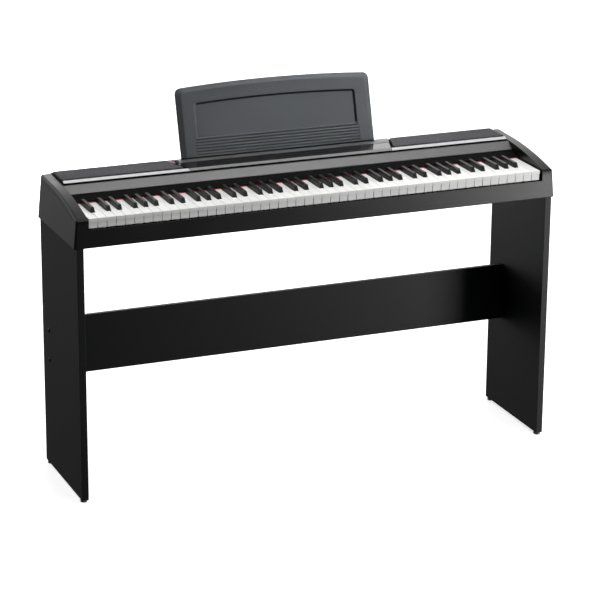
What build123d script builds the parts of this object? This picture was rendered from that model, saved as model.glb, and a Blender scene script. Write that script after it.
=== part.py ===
from build123d import *

import math
import os

# An 88-key digital piano on a board stand. Millimetres, +X to the player's right, +Y to the rear, +Z up.
# Pieces are laid out from the middle of the case's lower front edge. They are written with the origin
# on the floor, under the middle of the whole object.

# Keyboard
key_pitch = 23.6
white_key_count = 52
key_gap = 1.0
key_setback = 7.0
key_side_gap = 4.5
white_key_top = 73.0
white_key_lip = 25.0
white_key_plate = 9.0
white_key_overhang = 1.2
key_apron_wall = 3.0
key_apron_inset = 0.4
key_edge_round = 1.0
key_travel = 10.0
black_key_setback = 48.5
black_key_length = 82.0
black_key_width = 11.5
black_key_side_taper = 1.1
black_key_rise = 12.0
black_key_front_slope = 8.0
black_key_round = 2.0
black_key_root = 2.5
black_key_clearance = 1.2
black_key_shift = {"A": 3.6, "C": -2.6, "D": 2.6, "F": -3.6, "G": 0.0}
first_middle_key = 23
last_middle_key = 29

# Key and hammer action
key_lever_length = 245.0
key_pivot_drop = 13.0
rod_radius = 2.0
rod_clearance = 0.05
hub_radius = 6.0
hub_width = 9.0
key_foot_setback = 55.0
key_foot_depth = 6.0
key_foot_width = 7.0
hammer_pivot_setback = 93.0
hammer_pivot_height = 32.0
hammer_width = 8.0
hammer_hub_radius = 5.0
hammer_arm = 5.0
hammer_short_reach = 43.0
hammer_long_reach = 104.0
hammer_head_length = 32.0
hammer_head_height = 10.0
hammer_floor_gap = 1.5
action_gap = 0.5

# Case
case_depth = 307.0
cheek_width = 35.9
side_draft = 10.0
front_corner_radius = 5.5
rear_corner_radius = 8.0
case_floor = 6.0
case_wall = 4.0
front_rail_wall = 5.0
front_rail_height = 46.0
case_edge_round = 1.5
rail_edge_round = 1.2
seam_gap = 0.5
joint_gap = 0.3
cheek_cap_depth = 13.5
cheek_skin = 4.0
crown_front_y = 4.6
crown_front_z = 75.8
crown_back_setback = 65.0
crown_back_z = 108.5
crown_bulge = 7.2
crown_rear_z = 111.0
cheek_lip_z = 70.0
cheek_groove_height = 3.0
cheek_groove_depth = 1.6
cheek_edge_round = 6.0

# Top deck
deck_skin = 3.0
key_showing_length = 165.5
fallboard_height = 20.5
fallboard_lean = 28.0
fallboard_edge_round = 1.2
band_ledge = 2.0
band_floor = 103.0
band_edge_gap = 1.0
recess_margin = 3.0
recess_rear_margin = 5.5
rear_pad_top = 114.8
rear_pad_round = 1.5
panel_depth = 63.5
panel_half_front = 278.2
panel_slant = 0.33
panel_gap = 1.5
facet_depth = 9.5
facet_low = 110.3
facet_slope = 22.5
facet_lip = 0.5
facet_undercut = 4.5
strip_back_width = 1.0
grille_top = 116.4
grille_strip_gap = 5.0
grille_end_gap = 5.5
grille_corner_round = 4.0
grille_edge_round = 2.5
grille_skin = 2.5
grille_rim = 4.0

# Red felt and nameboard over the keys' rear ends
felt_setback = 131.5
felt_depth = 4.0
felt_height = 2.2
felt_lift = 0.8
nameboard_thickness = 2.5
nameboard_end_gap = 1.0

# Music rest
rest_width = 539.0
rest_height = 192.4
rest_thickness = 12.0
rest_lean = 16.0
rest_rear_margin = 17.5
rest_tongue = 11.0
rest_foot_height = 5.0
rest_foot_setback = 2.6
rest_corner_radius = 16.0
rest_top_bulge = 9.6
rest_bevel = 12.5
rest_bevel_depth = 4.5
rest_recess_side = 43.5
rest_recess_low = 50.8
rest_recess_high = 149.5
rest_recess_depth = 4.5
rest_recess_slope = 6.0
rest_recess_corner = 8.0
rib_count = 6
rib_pitch = 7.6
rib_top_run = 3.0
rib_edge = 0.6
rib_depth = 2.6
rib_overhang = 3.0
rest_back_depth = 4.0
rest_back_rim = 9.0
rest_back_rib = 3.0
rest_back_bays = 5
rest_slot_gap = 0.5
rest_socket_wall = 3.0

# Controls, electronics and sound
button_x = -289.5
button_rear_gap = 14.0
button_length = 15.0
button_depth = 9.0
button_proud = 1.6
button_travel = 2.0
button_height = 6.0
control_gap = 0.4
knob_x = -289.5
knob_rear_gap = 31.0
knob_radius = 6.0
knob_height = 4.0
knob_lift = 0.5
knob_shaft_radius = 3.0
knob_shaft_depth = 7.0
speaker_x = 455.0
speaker_length = 150.0
speaker_depth = 74.0
speaker_hole_length = 128.0
speaker_hole_depth = 52.0
speaker_flange = 3.0
speaker_cone_height = 9.0
speaker_magnet_radius = 20.0
speaker_magnet_height = 9.0
main_board_length = 240.0
main_board_depth = 52.0
board_thickness = 1.6
main_board_drop = 6.0
main_board_post_radius = 3.0
contact_board_setback = 103.0
contact_board_depth = 30.0
contact_board_height = 50.0
contact_dome_radius = 3.0
jack_panel_x = -190.0
jack_panel_length = 140.0
jack_panel_low = 40.0
jack_panel_wall = 3.5
jack_flange = 6.0
jack_radius = 3.2
jack_barrel_radius = 6.0
jack_barrel_length = 14.0
jack_pitch = 30.0
jack_count = 3
inlet_radius = 4.5

# Key frame
frame_plate = 2.0
frame_rear_gap = 10.0
frame_rear_height = 44.0
lug_thickness = 3.0
lug_depth = 11.0
lug_cover = 3.2
end_lug_thickness = 2.0
end_lug_gap = 0.5

# Stand
stand_height = 666.0
glide_height = 8.0
glide_radius = 9.0
glide_round = 2.0
glide_stem_radius = 3.0
glide_stem_length = 12.0
glide_inset = 14.0
leg_thickness = 18.0
board_edge_round = 1.0
leg_inset = 6.7
leg_setback = 1.0
crossboard_thickness = 12.0
crossboard_low = 264.0
crossboard_height = 154.0
crossboard_rear_gap = 69.0
cleat_width = 30.0
cleat_depth = 30.0
cleat_top_gap = 25.0
bolt_low = 36.0
bolt_spacing = 80.0
bolt_radius = 3.0
bolt_length = 40.0
bolt_head_radius = 6.0
bolt_head_height = 2.5
bracket_leg = 22.0
bracket_wall = 2.0
bracket_end_gap = 75.0
screw_radius = 2.9
screw_bite = 5.5
screw_head_radius = 5.0
screw_head_height = 3.0
screw_inset = 100.0
case_screw_radius = 1.8
case_screw_head_radius = 4.0
case_screw_head_height = 1.6
case_screw_bite = 14.0
case_screw_columns = 5
case_screw_pitch = 275.0
case_screw_inset = 24.0
boss_radius = 4.5
boss_top_gap = 3.0
cheek_post_inset = 60.0
fastener_clearance = 0.1

# Places worked out from the sizes above
keyboard_width = key_pitch * white_key_count
keyboard_left = -keyboard_width / 2
cheek_inner = keyboard_width / 2 + key_side_gap
case_half_width = cheek_inner + cheek_width
deck_half_width = cheek_inner - joint_gap
white_key_low = white_key_top - white_key_plate
key_pivot_y = key_setback + key_lever_length
key_pivot_z = white_key_top - key_pivot_drop
key_foot_y = key_setback + key_foot_setback
black_key_front = key_setback + black_key_setback
hammer_pivot_y = key_setback + hammer_pivot_setback
frame_top = case_floor + frame_plate
crown_back_y = case_depth - crown_back_setback
fallboard_y = key_setback + key_showing_length
fallboard_top_y = fallboard_y + fallboard_lean
band_front = fallboard_top_y + band_ledge
facet_top = facet_low + facet_depth * math.tan(math.radians(facet_slope))
recess_rear = case_depth - recess_rear_margin
grille_front = band_front + facet_depth + strip_back_width + grille_strip_gap
panel_rear = band_front + panel_depth
rest_front_y = case_depth - rest_rear_margin
leg_outer = case_half_width - leg_inset
leg_inner = leg_outer - leg_thickness
crossboard_y = case_depth - leg_setback - crossboard_rear_gap - crossboard_thickness
floor_z = -stand_height


def box(x0, x1, y0, y1, z0, z1):
    """A block between two opposite corners."""
    return Pos((x0 + x1) / 2, (y0 + y1) / 2, (z0 + z1) / 2) * Box(x1 - x0, y1 - y0, z1 - z0)


def across(points, x0, x1):
    """A closed outline in Y and Z, run along X."""
    face = Plane.YZ * make_face(Polyline(*points, close=True))
    return Pos(x0, 0, 0) * extrude(face, amount=x1 - x0)


def upright(points, z0, z1):
    """A closed outline in X and Y, run along Z."""
    face = make_face(Polyline(*points, close=True))
    return Pos(0, 0, z0) * extrude(face, amount=z1 - z0)


def rod_along_x(x0, x1, y, z, radius):
    """A round bar along X."""
    return Pos((x0 + x1) / 2, y, z) * Rot(0, 90, 0) * Cylinder(radius, x1 - x0)


def post(x, y, z0, z1, radius):
    """A round bar along Z."""
    return Pos(x, y, (z0 + z1) / 2) * Cylinder(radius, z1 - z0)


def other_side(shape):
    """The same piece on the other side of the middle plane."""
    return mirror(shape, about=Plane.YZ)


# Keys


def letter(index):
    """The letter of a white key, counted from the lowest."""
    return "ABCDEFG"[index % 7]


def black_key_x(index):
    """The middle of the black key right of a white key, or None where there is none."""
    if letter(index) not in black_key_shift or index + 1 >= white_key_count or index < 0:
        return None
    return keyboard_left + (index + 1) * key_pitch + black_key_shift[letter(index)]


def stem_limits(index):
    """The left and right sides of a white key between its black neighbours."""
    half_notch = black_key_width / 2 + black_key_clearance
    left = keyboard_left + index * key_pitch + key_gap / 2
    right = left + key_pitch - key_gap
    if black_key_x(index - 1) is not None:
        left = black_key_x(index - 1) + half_notch
    if black_key_x(index) is not None:
        right = black_key_x(index) - half_notch
    return left, right


def key_works(x, plate_low):
    """The foot that pushes the hammer and the hub on the pivot rod, at one key's middle."""
    tip_radius = key_foot_depth / 2
    tip_z = hammer_pivot_height + hammer_arm / 2 + action_gap + tip_radius
    left = x - key_foot_width / 2
    right = x + key_foot_width / 2
    foot = box(left, right, key_foot_y - tip_radius, key_foot_y + tip_radius, tip_z, plate_low + 1)
    foot += rod_along_x(left, right, key_foot_y, tip_z, tip_radius)
    hub = rod_along_x(x - hub_width / 2, x + hub_width / 2, key_pivot_y, key_pivot_z, hub_radius)
    return foot + hub


def key_bore(x):
    """The hole for the pivot rod in one key's hub."""
    return rod_along_x(x - key_pitch, x + key_pitch, key_pivot_y, key_pivot_z, rod_radius + rod_clearance)


def white_key(index):
    """One white key: a wide head with an apron in front, and a stem back to the pivot."""
    left = keyboard_left + index * key_pitch + key_gap / 2
    right = left + key_pitch - key_gap
    stem_left, stem_right = stem_limits(index)
    head_rear = black_key_front - black_key_clearance
    head = box(left, right, key_setback, head_rear, white_key_low, white_key_top)
    shown = head.edges().group_by(Axis.Z)[-1].sort_by(Axis.Y)[:-1]
    head = fillet(shown, key_edge_round)
    apron_y = key_setback + white_key_overhang
    apron = box(
        left + key_apron_inset,
        right - key_apron_inset,
        apron_y,
        apron_y + key_apron_wall,
        white_key_top - white_key_lip,
        white_key_low + 1,
    )
    stem_rear = key_pivot_y + hub_radius
    stem = box(stem_left, stem_right, head_rear - 1, stem_rear, white_key_low, white_key_top)
    x = (stem_left + stem_right) / 2
    return head + apron + stem + key_works(x, white_key_low) - key_bore(x)


def black_key(index):
    """The black key right of a white key: a tapered cap on a lower lever back to the pivot."""
    x = black_key_x(index)
    lever_top = white_key_top - black_key_root
    lever_low = lever_top - white_key_plate
    half = black_key_width / 2
    cap_rear = black_key_front + black_key_length
    foot_face = Pos(x, (black_key_front + cap_rear) / 2, lever_top) * Rectangle(
        black_key_width, black_key_length
    )
    top_length = black_key_length - black_key_front_slope
    top_face = Pos(x, cap_rear - top_length / 2, white_key_top + black_key_rise) * Rectangle(
        black_key_width - 2 * black_key_side_taper, top_length
    )
    cap = loft([foot_face, top_face])
    shown = cap.edges().group_by(Axis.Z)[-1].sort_by(Axis.Y)[:-1]
    cap = fillet(shown, black_key_round)
    lever = box(x - half, x + half, black_key_front, key_pivot_y + hub_radius, lever_low, lever_top)
    return cap + lever + key_works(x, lever_low) - key_bore(x)


def hammer(x):
    """A weighted hammer: a short arm under the key's foot, a long arm and a heavy head."""
    y = hammer_pivot_y
    z = hammer_pivot_height
    left = x - hammer_width / 2
    right = x + hammer_width / 2
    hub = rod_along_x(left, right, y, z, hammer_hub_radius)
    short_arm = box(left, right, y - hammer_short_reach, y, z - hammer_arm / 2, z + hammer_arm / 2)
    head_front = y + hammer_long_reach
    head_low = frame_top + hammer_floor_gap
    head_rear = head_front + hammer_head_length
    head = box(left, right, head_front, head_rear, head_low, head_low + hammer_head_height)
    drop = head_low + (hammer_head_height - hammer_arm) / 2
    slope = [
        (y, z - hammer_arm / 2),
        (y, z + hammer_arm / 2),
        (head_front + 1, drop + hammer_arm),
        (head_front + 1, drop),
    ]
    long_arm = across(slope, x - hammer_arm / 2, x + hammer_arm / 2)
    bore = rod_along_x(left - 1, right + 1, y, z, rod_radius + rod_clearance)
    return hub + short_arm + head + long_arm - bore


def key_middle(index, black):
    """Where a key's foot and hub stand in X."""
    if black:
        return black_key_x(index)
    return sum(stem_limits(index)) / 2


def has_black(index):
    """Whether a black key lies right of a white key."""
    return black_key_x(index) is not None


# Case


def crown_height(y):
    """The height of the cheeks' top line at a depth."""
    if y >= crown_back_y:
        share = (y - crown_back_y) / (case_depth - crown_back_y)
        return crown_back_z + share * (crown_rear_z - crown_back_z)
    run = crown_back_y - crown_front_y
    rise = crown_back_z - crown_front_z
    half_chord = math.hypot(run, rise) / 2
    radius = (half_chord**2 + crown_bulge**2) / (2 * crown_bulge)
    reach = radius - crown_bulge
    centre_y = (crown_front_y + crown_back_y) / 2 + reach * rise / (2 * half_chord)
    centre_z = (crown_front_z + crown_back_z) / 2 - reach * run / (2 * half_chord)
    return centre_z + math.sqrt(radius**2 - (y - centre_y) ** 2)


def under_crown(drop, front_points):
    """The case's side outline below the cheeks' top line, lowered by drop."""
    middle_y = (crown_front_y + crown_back_y) / 2
    front = (crown_front_y, crown_front_z - drop)
    middle = (middle_y, crown_height(middle_y) - drop)
    back = (crown_back_y, crown_back_z - drop)
    rear = (case_depth, crown_rear_z - drop)
    top = [ThreePointArc(front, middle, back), Line(back, rear)]
    rest = Polyline(rear, (case_depth, 0), (0, 0), *front_points, front)
    return Plane.YZ * make_face(top + [rest])


def run_across(face, x0, x1):
    """A face in the Y and Z plane, run along X."""
    return Pos(x0, 0, 0) * extrude(face, amount=x1 - x0)


def case_plan(half_width):
    """The case seen from above, with its four corners rounded."""
    outline = Pos(0, case_depth / 2) * Rectangle(2 * half_width, case_depth)
    outline = fillet(outline.vertices().sort_by(Axis.Y)[:2], front_corner_radius)
    return fillet(outline.vertices().sort_by(Axis.Y)[-2:], rear_corner_radius)


def case_block():
    """The case's drafted outer block with its lower edges rounded, taller than anything cut from it."""
    top = Pos(0, 0, crown_rear_z) * case_plan(case_half_width - side_draft)
    block = loft([case_plan(case_half_width), top])
    return fillet(block.edges().group_by(Axis.Z)[0], case_edge_round)


def seam_face(drop):
    """The outline of what lies under the seam between the lower case and the caps."""
    return under_crown(drop, [(0, crown_front_z - drop)])


def lower_case():
    """Floor, front rail, sides and rear wall in one moulding, open above, with end pockets."""
    drop = cheek_cap_depth + seam_gap
    shell = case_block() & run_across(seam_face(drop), -case_half_width, case_half_width)
    inner_rear = case_depth - case_wall
    top = crown_rear_z + 1
    shell -= box(-cheek_inner, cheek_inner, front_rail_wall, inner_rear, case_floor, top)
    shell -= box(-cheek_inner, cheek_inner, -1, front_rail_wall + 1, front_rail_height, top)
    level = shell.faces().filter_by(Axis.Z)
    rail_top = level.filter_by_position(Axis.Z, front_rail_height - 1, front_rail_height + 1)
    shell = fillet(rail_top.edges().filter_by(Axis.X).sort_by(Axis.Y)[0], rail_edge_round)
    pocket_inner = cheek_inner + case_wall
    slope = side_draft / crown_rear_z
    side_low = case_half_width - case_wall - slope * case_floor
    side_high = case_half_width - case_wall - slope * top
    for side in (1, -1):
        corners = [
            (side * pocket_inner, case_floor),
            (side * side_low, case_floor),
            (side * side_high, top),
            (side * pocket_inner, top),
        ]
        face = Plane.XZ * make_face(Polyline(*corners, close=True))
        shell -= Pos(0, inner_rear, 0) * extrude(face, amount=inner_rear - front_rail_wall)
    notch_left = jack_panel_x - jack_panel_length / 2
    notch_right = notch_left + jack_panel_length
    shell -= box(notch_left, notch_right, inner_rear - 1, case_depth + 1, jack_panel_low, top)
    for x, y in case_screw_places():
        shell -= case_screw_hole(x, y)
    for x, y in case_bolt_places():
        shell -= post(x, y, -1, screw_bite + fastener_clearance, screw_radius + fastener_clearance)
    return shell


def right_cheek():
    """The curved cap on the right end, hollow underneath, with a bright lip and a groove in front."""
    groove_low = cheek_lip_z - cheek_groove_height
    bevel = cheek_groove_depth / 3
    lip = [
        (0, groove_low),
        (cheek_groove_depth, groove_low + bevel),
        (cheek_groove_depth, cheek_lip_z - bevel),
        (0, cheek_lip_z),
    ]
    whole = run_across(under_crown(0, lip), cheek_inner, case_half_width) & case_block()
    outer_top = whole.edges().filter_by_position(Axis.X, case_half_width - side_draft - 1, case_half_width)
    outer_top = outer_top.filter_by_position(Axis.Z, crown_front_z - 1, crown_rear_z + 1)
    whole = fillet(outer_top, cheek_edge_round)
    cap = whole - run_across(seam_face(cheek_cap_depth), cheek_inner - 1, case_half_width + 1)
    hollow = run_across(
        under_crown(cheek_skin, [(0, crown_front_z - cheek_skin)]),
        cheek_inner + cheek_skin,
        case_half_width - side_draft - cheek_skin,
    )
    hollow &= box(0, case_half_width, crown_front_y + cheek_skin, case_depth - cheek_skin, 0, crown_rear_z)
    cap -= hollow
    post_x = (cheek_inner + case_wall + case_half_width - side_draft - case_wall) / 2
    for y in (cheek_post_inset, case_depth - cheek_post_inset):
        cap += post(post_x, y, case_floor, crown_height(y) - cheek_skin / 2, boss_radius)
    return cap


# Top deck


def panel_half(y):
    """Half the centre panel's width at a depth."""
    return panel_half_front + (y - band_front) * panel_slant


def rest_frame():
    """The plane of the music rest's front face: X across, Y up the slope, origin at the deck."""
    return Plane(
        origin=(0, rest_front_y, rear_pad_top),
        x_dir=(1, 0, 0),
        z_dir=(0, -math.cos(math.radians(rest_lean)), math.sin(math.radians(rest_lean))),
    )


def rest_socket_cut():
    """The slanted slot that the music rest's tongue stands in."""
    half = rest_width / 2 + rest_slot_gap
    low = -rest_tongue - rest_slot_gap
    front = rest_slot_gap - rest_foot_setback
    cut = box(-half, half, low, rest_tongue, -rest_thickness - rest_slot_gap, front)
    return rest_frame().location * cut


def speaker_place(side):
    """The middle of one speaker's flange, against the deck's underside."""
    return Pos(side * speaker_x, (grille_front + recess_rear) / 2, band_floor - deck_skin)


def main_board_y():
    """The middle of the main board, under the centre panel."""
    return (band_front + panel_rear) / 2


def main_board_posts():
    """The four places where the main board hangs from the deck."""
    reach_x = main_board_length / 2 - 2 * main_board_post_radius
    reach_y = main_board_depth / 2 - 2 * main_board_post_radius
    return [(sx * reach_x, main_board_y() + sy * reach_y) for sx in (-1, 1) for sy in (-1, 1)]


def top_deck():
    """Sloping fallboard, recessed band for the grilles and panel, rear pad with the rest's slot."""
    half = deck_half_width
    fallboard_top = crown_height(fallboard_top_y)
    fallboard_low = fallboard_top - fallboard_height
    level_skin = deck_skin * math.hypot(fallboard_lean, fallboard_height) / fallboard_height
    wall = [
        (fallboard_y, fallboard_low),
        (fallboard_top_y, fallboard_top),
        (fallboard_top_y + level_skin, fallboard_top),
        (fallboard_y + level_skin, fallboard_low),
    ]
    fallboard = across(wall, -half, half)
    low_edge = fallboard.edges().filter_by(Axis.X).sort_by(Axis.Y)[0]
    fallboard = fillet(low_edge, fallboard_edge_round)
    seam_rear = crown_rear_z - cheek_cap_depth
    skin = run_across(under_crown(0, [(0, crown_front_z)]), -half, half)
    skin -= run_across(under_crown(deck_skin, [(0, crown_front_z - deck_skin)]), -half, half)
    skin &= box(-half, half, fallboard_top_y, case_depth, 0, crown_rear_z)
    pan = run_across(under_crown(0, [(0, crown_front_z)]), -half, half)
    pan &= box(-half, half, fallboard_top_y, case_depth, band_floor - deck_skin, crown_rear_z)
    skirt = box(-half, half, case_depth - deck_skin, case_depth, seam_rear, band_floor)
    recess_half = half - recess_margin
    recess_front = band_front - band_edge_gap
    deck = fallboard + skin + pan + skirt
    deck -= box(-recess_half, recess_half, recess_front, recess_rear, band_floor, crown_rear_z + 1)
    pad_front = panel_rear + band_edge_gap
    front_half = panel_half(pad_front) + panel_gap
    rear_half = panel_half(case_depth - deck_skin) + panel_gap
    pad_rear = case_depth - deck_skin / 2
    pad = upright(
        [(-front_half, pad_front), (front_half, pad_front), (rear_half, pad_rear), (-rear_half, pad_rear)],
        band_floor,
        rear_pad_top,
    )
    rear_edge = pad.edges().filter_by(Axis.X).group_by(Axis.Z)[-1].sort_by(Axis.Y)[-1]
    pad = fillet(rear_edge, rear_pad_round)
    socket_half = rest_width / 2 + rest_slot_gap + rest_socket_wall
    lean = math.tan(math.radians(rest_lean))
    socket_low = rear_pad_top - rest_tongue - rest_slot_gap - rest_socket_wall
    socket_front = rest_front_y - (rear_pad_top - socket_low) * lean - rest_slot_gap - rest_socket_wall
    socket = box(-socket_half, socket_half, socket_front, case_depth - deck_skin, socket_low, band_floor)
    deck = deck + pad + socket - rest_socket_cut()
    for side in (-1, 1):
        hole = extrude(SlotOverall(speaker_hole_length, speaker_hole_depth), amount=deck_skin + 2)
        deck -= speaker_place(side) * Pos(0, 0, -1) * hole
    for x, y in main_board_posts():
        deck += post(x, y, band_floor - deck_skin - main_board_drop, band_floor, main_board_post_radius)
    for x, y in case_screw_places()[1::2]:
        deck += post(x, y, case_floor, band_floor - deck_skin / 2, boss_radius)
        deck -= case_screw_hole(x, y)
    deck -= button_pocket()
    return deck - knob_hole()


def facet_outline():
    """The bright front edge of the band: an overhanging lip under a sloping face."""
    return [
        (band_front, facet_low - facet_lip),
        (band_front, facet_low),
        (band_front + facet_depth, facet_top),
        (band_front + facet_depth + strip_back_width, facet_top),
        (band_front + facet_depth + strip_back_width, band_floor),
        (band_front + facet_undercut, band_floor),
        (band_front + facet_undercut, facet_low - facet_lip),
    ]


def centre_panel():
    """The gloss panel between the grilles, with a sloping front facet."""
    widest = panel_half(panel_rear)
    panel = across(facet_outline(), -widest, widest)
    panel += box(-widest, widest, band_front + facet_depth, panel_rear, band_floor, facet_top)
    front = panel_half(band_front)
    plan = [(-front, band_front), (front, band_front), (widest, panel_rear), (-widest, panel_rear)]
    return panel & upright(plan, band_floor - 1, facet_top + 1)


def right_trim_strip():
    """The bright strip in front of the right grille."""
    outer = deck_half_width - recess_margin - band_edge_gap
    strip = across(facet_outline(), panel_half_front, outer)
    rear = band_front + facet_depth + strip_back_width
    inner_front = panel_half(band_front) + panel_gap
    inner_rear = panel_half(rear) + panel_gap
    plan = [(inner_front, band_front), (outer, band_front), (outer, rear), (inner_rear, rear)]
    return strip & upright(plan, band_floor - 1, facet_top + 1)


def right_grille():
    """The right speaker grille: a rimmed cover, hollow underneath."""
    outer = deck_half_width - recess_margin - band_edge_gap
    rear = recess_rear - band_edge_gap
    reach = panel_gap + grille_end_gap
    inner_front = panel_half(grille_front) + reach
    inner_rear = panel_half(rear) + reach
    plan = [(inner_front, grille_front), (outer, grille_front), (outer, rear), (inner_rear, rear)]
    cover = upright(plan, band_floor, grille_top)
    cover = fillet(cover.edges().filter_by(Axis.Z), grille_corner_round)
    cover = fillet(cover.faces().sort_by(Axis.Z)[-1].edges(), grille_edge_round)
    inside = [
        (inner_front + grille_rim, grille_front + grille_rim),
        (outer - grille_rim, grille_front + grille_rim),
        (outer - grille_rim, rear - grille_rim),
        (inner_rear + grille_rim, rear - grille_rim),
    ]
    return cover - upright(inside, band_floor - 1, grille_top - grille_skin)


def felt_strip():
    """The red felt along the rear of the white keys."""
    y = key_setback + felt_setback
    low = white_key_top + felt_lift
    half = deck_half_width - nameboard_end_gap
    return box(-half, half, y, y + felt_depth, low, low + felt_height)


def nameboard():
    """The black board that slopes from the felt up to the fallboard's lower edge."""
    y = key_setback + felt_setback
    low = white_key_top + felt_lift + felt_height
    rear_y = fallboard_y + 3 * deck_skin
    rear_top = crown_height(fallboard_top_y) - fallboard_height
    outline = [
        (y, low),
        (y, low + nameboard_thickness),
        (fallboard_y - deck_skin, rear_top),
        (rear_y, rear_top),
        (rear_y, rear_top - nameboard_thickness),
        (fallboard_y - deck_skin, rear_top - nameboard_thickness),
        (y + felt_depth, low),
    ]
    half = deck_half_width - nameboard_end_gap
    return across(outline, -half, half)


# Music rest


def rest_outline(inset):
    """The music rest's face outline on its own plane, drawn in by an inset."""
    half = rest_width / 2 - inset
    corner = rest_height - rest_top_bulge - inset
    middle = (0, rest_height - inset)
    start = (half, -rest_tongue)
    sides = Polyline((-half, corner), (-half, -rest_tongue), start, (half, corner))
    face = make_face([sides, ThreePointArc((half, corner), middle, (-half, corner))])
    return fillet(face.vertices().group_by(Axis.Y)[-1], rest_corner_radius - inset / 2)


def recess_outline(inset):
    """The shallow recess above the ribs, with a top edge that follows the rest's own."""
    half = rest_width / 2 - rest_recess_side
    bulge = rest_top_bulge * (2 * half / rest_width) ** 2
    corner = rest_recess_high - bulge - inset
    left = inset - half
    right = half - inset
    low = rest_recess_low + inset / 2
    sides = Polyline((left, corner), (left, low), (right, low), (right, corner))
    top = ThreePointArc((right, corner), (0, rest_recess_high - inset), (left, corner))
    face = make_face([sides, top])
    return fillet(face.vertices().group_by(Axis.Y)[-1], rest_recess_corner - inset)


def rib_grooves():
    """The sloping grooves that leave a row of ribs below the recess."""
    half = rest_width / 2 - rest_recess_side + rib_overhang
    grooves = []
    for number in range(rib_count):
        ridge = rest_recess_low - rib_edge - number * rib_pitch
        valley = ridge - rib_pitch + rib_edge + rib_top_run
        low = ridge - rib_pitch + rib_edge
        outline = [(ridge, 0), (ridge, 1), (low, 1), (low, 0), (valley, -rib_depth)]
        grooves.append(across(outline, -half, half))
    return Part() + grooves


def music_rest():
    """The leaning music rest: bevelled border, recess, ribs, a set-back foot and a pocketed back."""
    bevel_face = Pos(0, 0, -rest_bevel_depth) * rest_outline(0)
    plate = extrude(bevel_face, amount=-(rest_thickness - rest_bevel_depth))
    plate += loft([bevel_face, rest_outline(rest_bevel)])
    floor = Pos(0, 0, -rest_recess_depth) * recess_outline(rest_recess_slope)
    plate -= loft([floor, recess_outline(0)])
    plate -= rib_grooves()
    plate -= box(-rest_width, rest_width, -2 * rest_tongue, rest_foot_height, -rest_foot_setback, 1)
    back_z = -rest_thickness
    bay_top = rest_height - rest_top_bulge - rest_corner_radius
    bay_span = rest_width - 2 * rest_back_rim
    bay_width = (bay_span - (rest_back_bays - 1) * rest_back_rib) / rest_back_bays
    for number in range(rest_back_bays):
        x = -bay_span / 2 + number * (bay_width + rest_back_rib)
        plate -= box(x, x + bay_width, rest_back_rim, bay_top, back_z - 1, back_z + rest_back_depth)
    return rest_frame().location * plate


# Controls, electronics and sound


def button_pocket():
    """The pocket that the power button sinks into."""
    y = case_depth - button_rear_gap
    half_x = button_length / 2 + control_gap
    half_y = button_depth / 2 + control_gap
    depth = button_height - button_proud + button_travel + control_gap
    low = rear_pad_top - depth
    return box(button_x - half_x, button_x + half_x, y - half_y, y + half_y, low, low + 2 * button_height)


def power_button():
    """The push button left of the music rest."""
    y = case_depth - button_rear_gap
    top = rear_pad_top + button_proud
    cap = box(
        button_x - button_length / 2,
        button_x + button_length / 2,
        y - button_depth / 2,
        y + button_depth / 2,
        top - button_height,
        top,
    )
    cap = fillet(cap.edges().filter_by(Axis.Z), button_depth / 4)
    return fillet(cap.faces().sort_by(Axis.Z)[-1].edges(), button_proud / 2)


def knob_hole():
    """The hole for the volume knob's shaft."""
    y = case_depth - knob_rear_gap
    low = rear_pad_top - knob_shaft_depth - control_gap
    return post(knob_x, y, low, rear_pad_top + 1, knob_shaft_radius + rod_clearance)


def volume_knob():
    """The small round volume knob on its shaft, with a pointer groove."""
    y = case_depth - knob_rear_gap
    low = rear_pad_top + knob_lift
    top = low + knob_height
    head = post(knob_x, y, low, top, knob_radius)
    head = fillet(head.edges().group_by(Axis.Z)[-1], knob_lift * 2)
    left = knob_x - knob_lift
    right = knob_x + knob_lift
    groove = box(left, right, y - knob_radius, y - knob_radius / 3, top - knob_lift, top + 1)
    return head + post(knob_x, y, rear_pad_top - knob_shaft_depth, low, knob_shaft_radius) - groove


def speaker(side):
    """One shallow oval speaker: flange, cone and magnet."""
    flange = extrude(SlotOverall(speaker_length, speaker_depth), amount=-speaker_flange)
    flange -= extrude(SlotOverall(speaker_hole_length, speaker_hole_depth), amount=-speaker_flange)
    rim = SlotOverall(speaker_length - 2 * speaker_flange, speaker_depth - 2 * speaker_flange)
    rim = Pos(0, 0, -speaker_flange) * rim
    throat = SlotOverall(speaker_hole_depth * 1.5, speaker_hole_depth)
    throat = Pos(0, 0, -speaker_flange - speaker_cone_height) * throat
    cone = loft([rim, throat])
    magnet_top = -speaker_flange - speaker_cone_height
    magnet = post(0, 0, magnet_top - speaker_magnet_height, magnet_top, speaker_magnet_radius)
    return speaker_place(side) * (flange + cone + magnet)


def main_board():
    """The main circuit board, hung under the deck."""
    top = band_floor - deck_skin - main_board_drop
    y = main_board_y()
    half_y = main_board_depth / 2
    half_x = main_board_length / 2
    return box(-half_x, half_x, y - half_y, y + half_y, top - board_thickness, top)


def contact_board():
    """The key contact board with one dome under each key, just clear of the pressed key."""
    y0 = key_setback + contact_board_setback
    half = keyboard_width / 2
    low = contact_board_height
    board = box(-half, half, y0, y0 + contact_board_depth, low, low + board_thickness)
    y = y0 + contact_board_depth / 2
    sink = key_travel * (key_pivot_y - y) / key_lever_length + action_gap
    domes = []
    for index in range(white_key_count):
        domes.append(post(key_middle(index, False), y, low, white_key_low - sink, contact_dome_radius))
        if has_black(index):
            dome_top = white_key_low - black_key_root - sink
            domes.append(post(key_middle(index, True), y, low, dome_top, contact_dome_radius))
    return board.fuse(*domes)


def jack_places():
    """The X of each round jack, then of the power inlet."""
    first = jack_panel_x - jack_pitch * jack_count / 2
    return [first + number * jack_pitch for number in range(jack_count + 1)]


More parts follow.
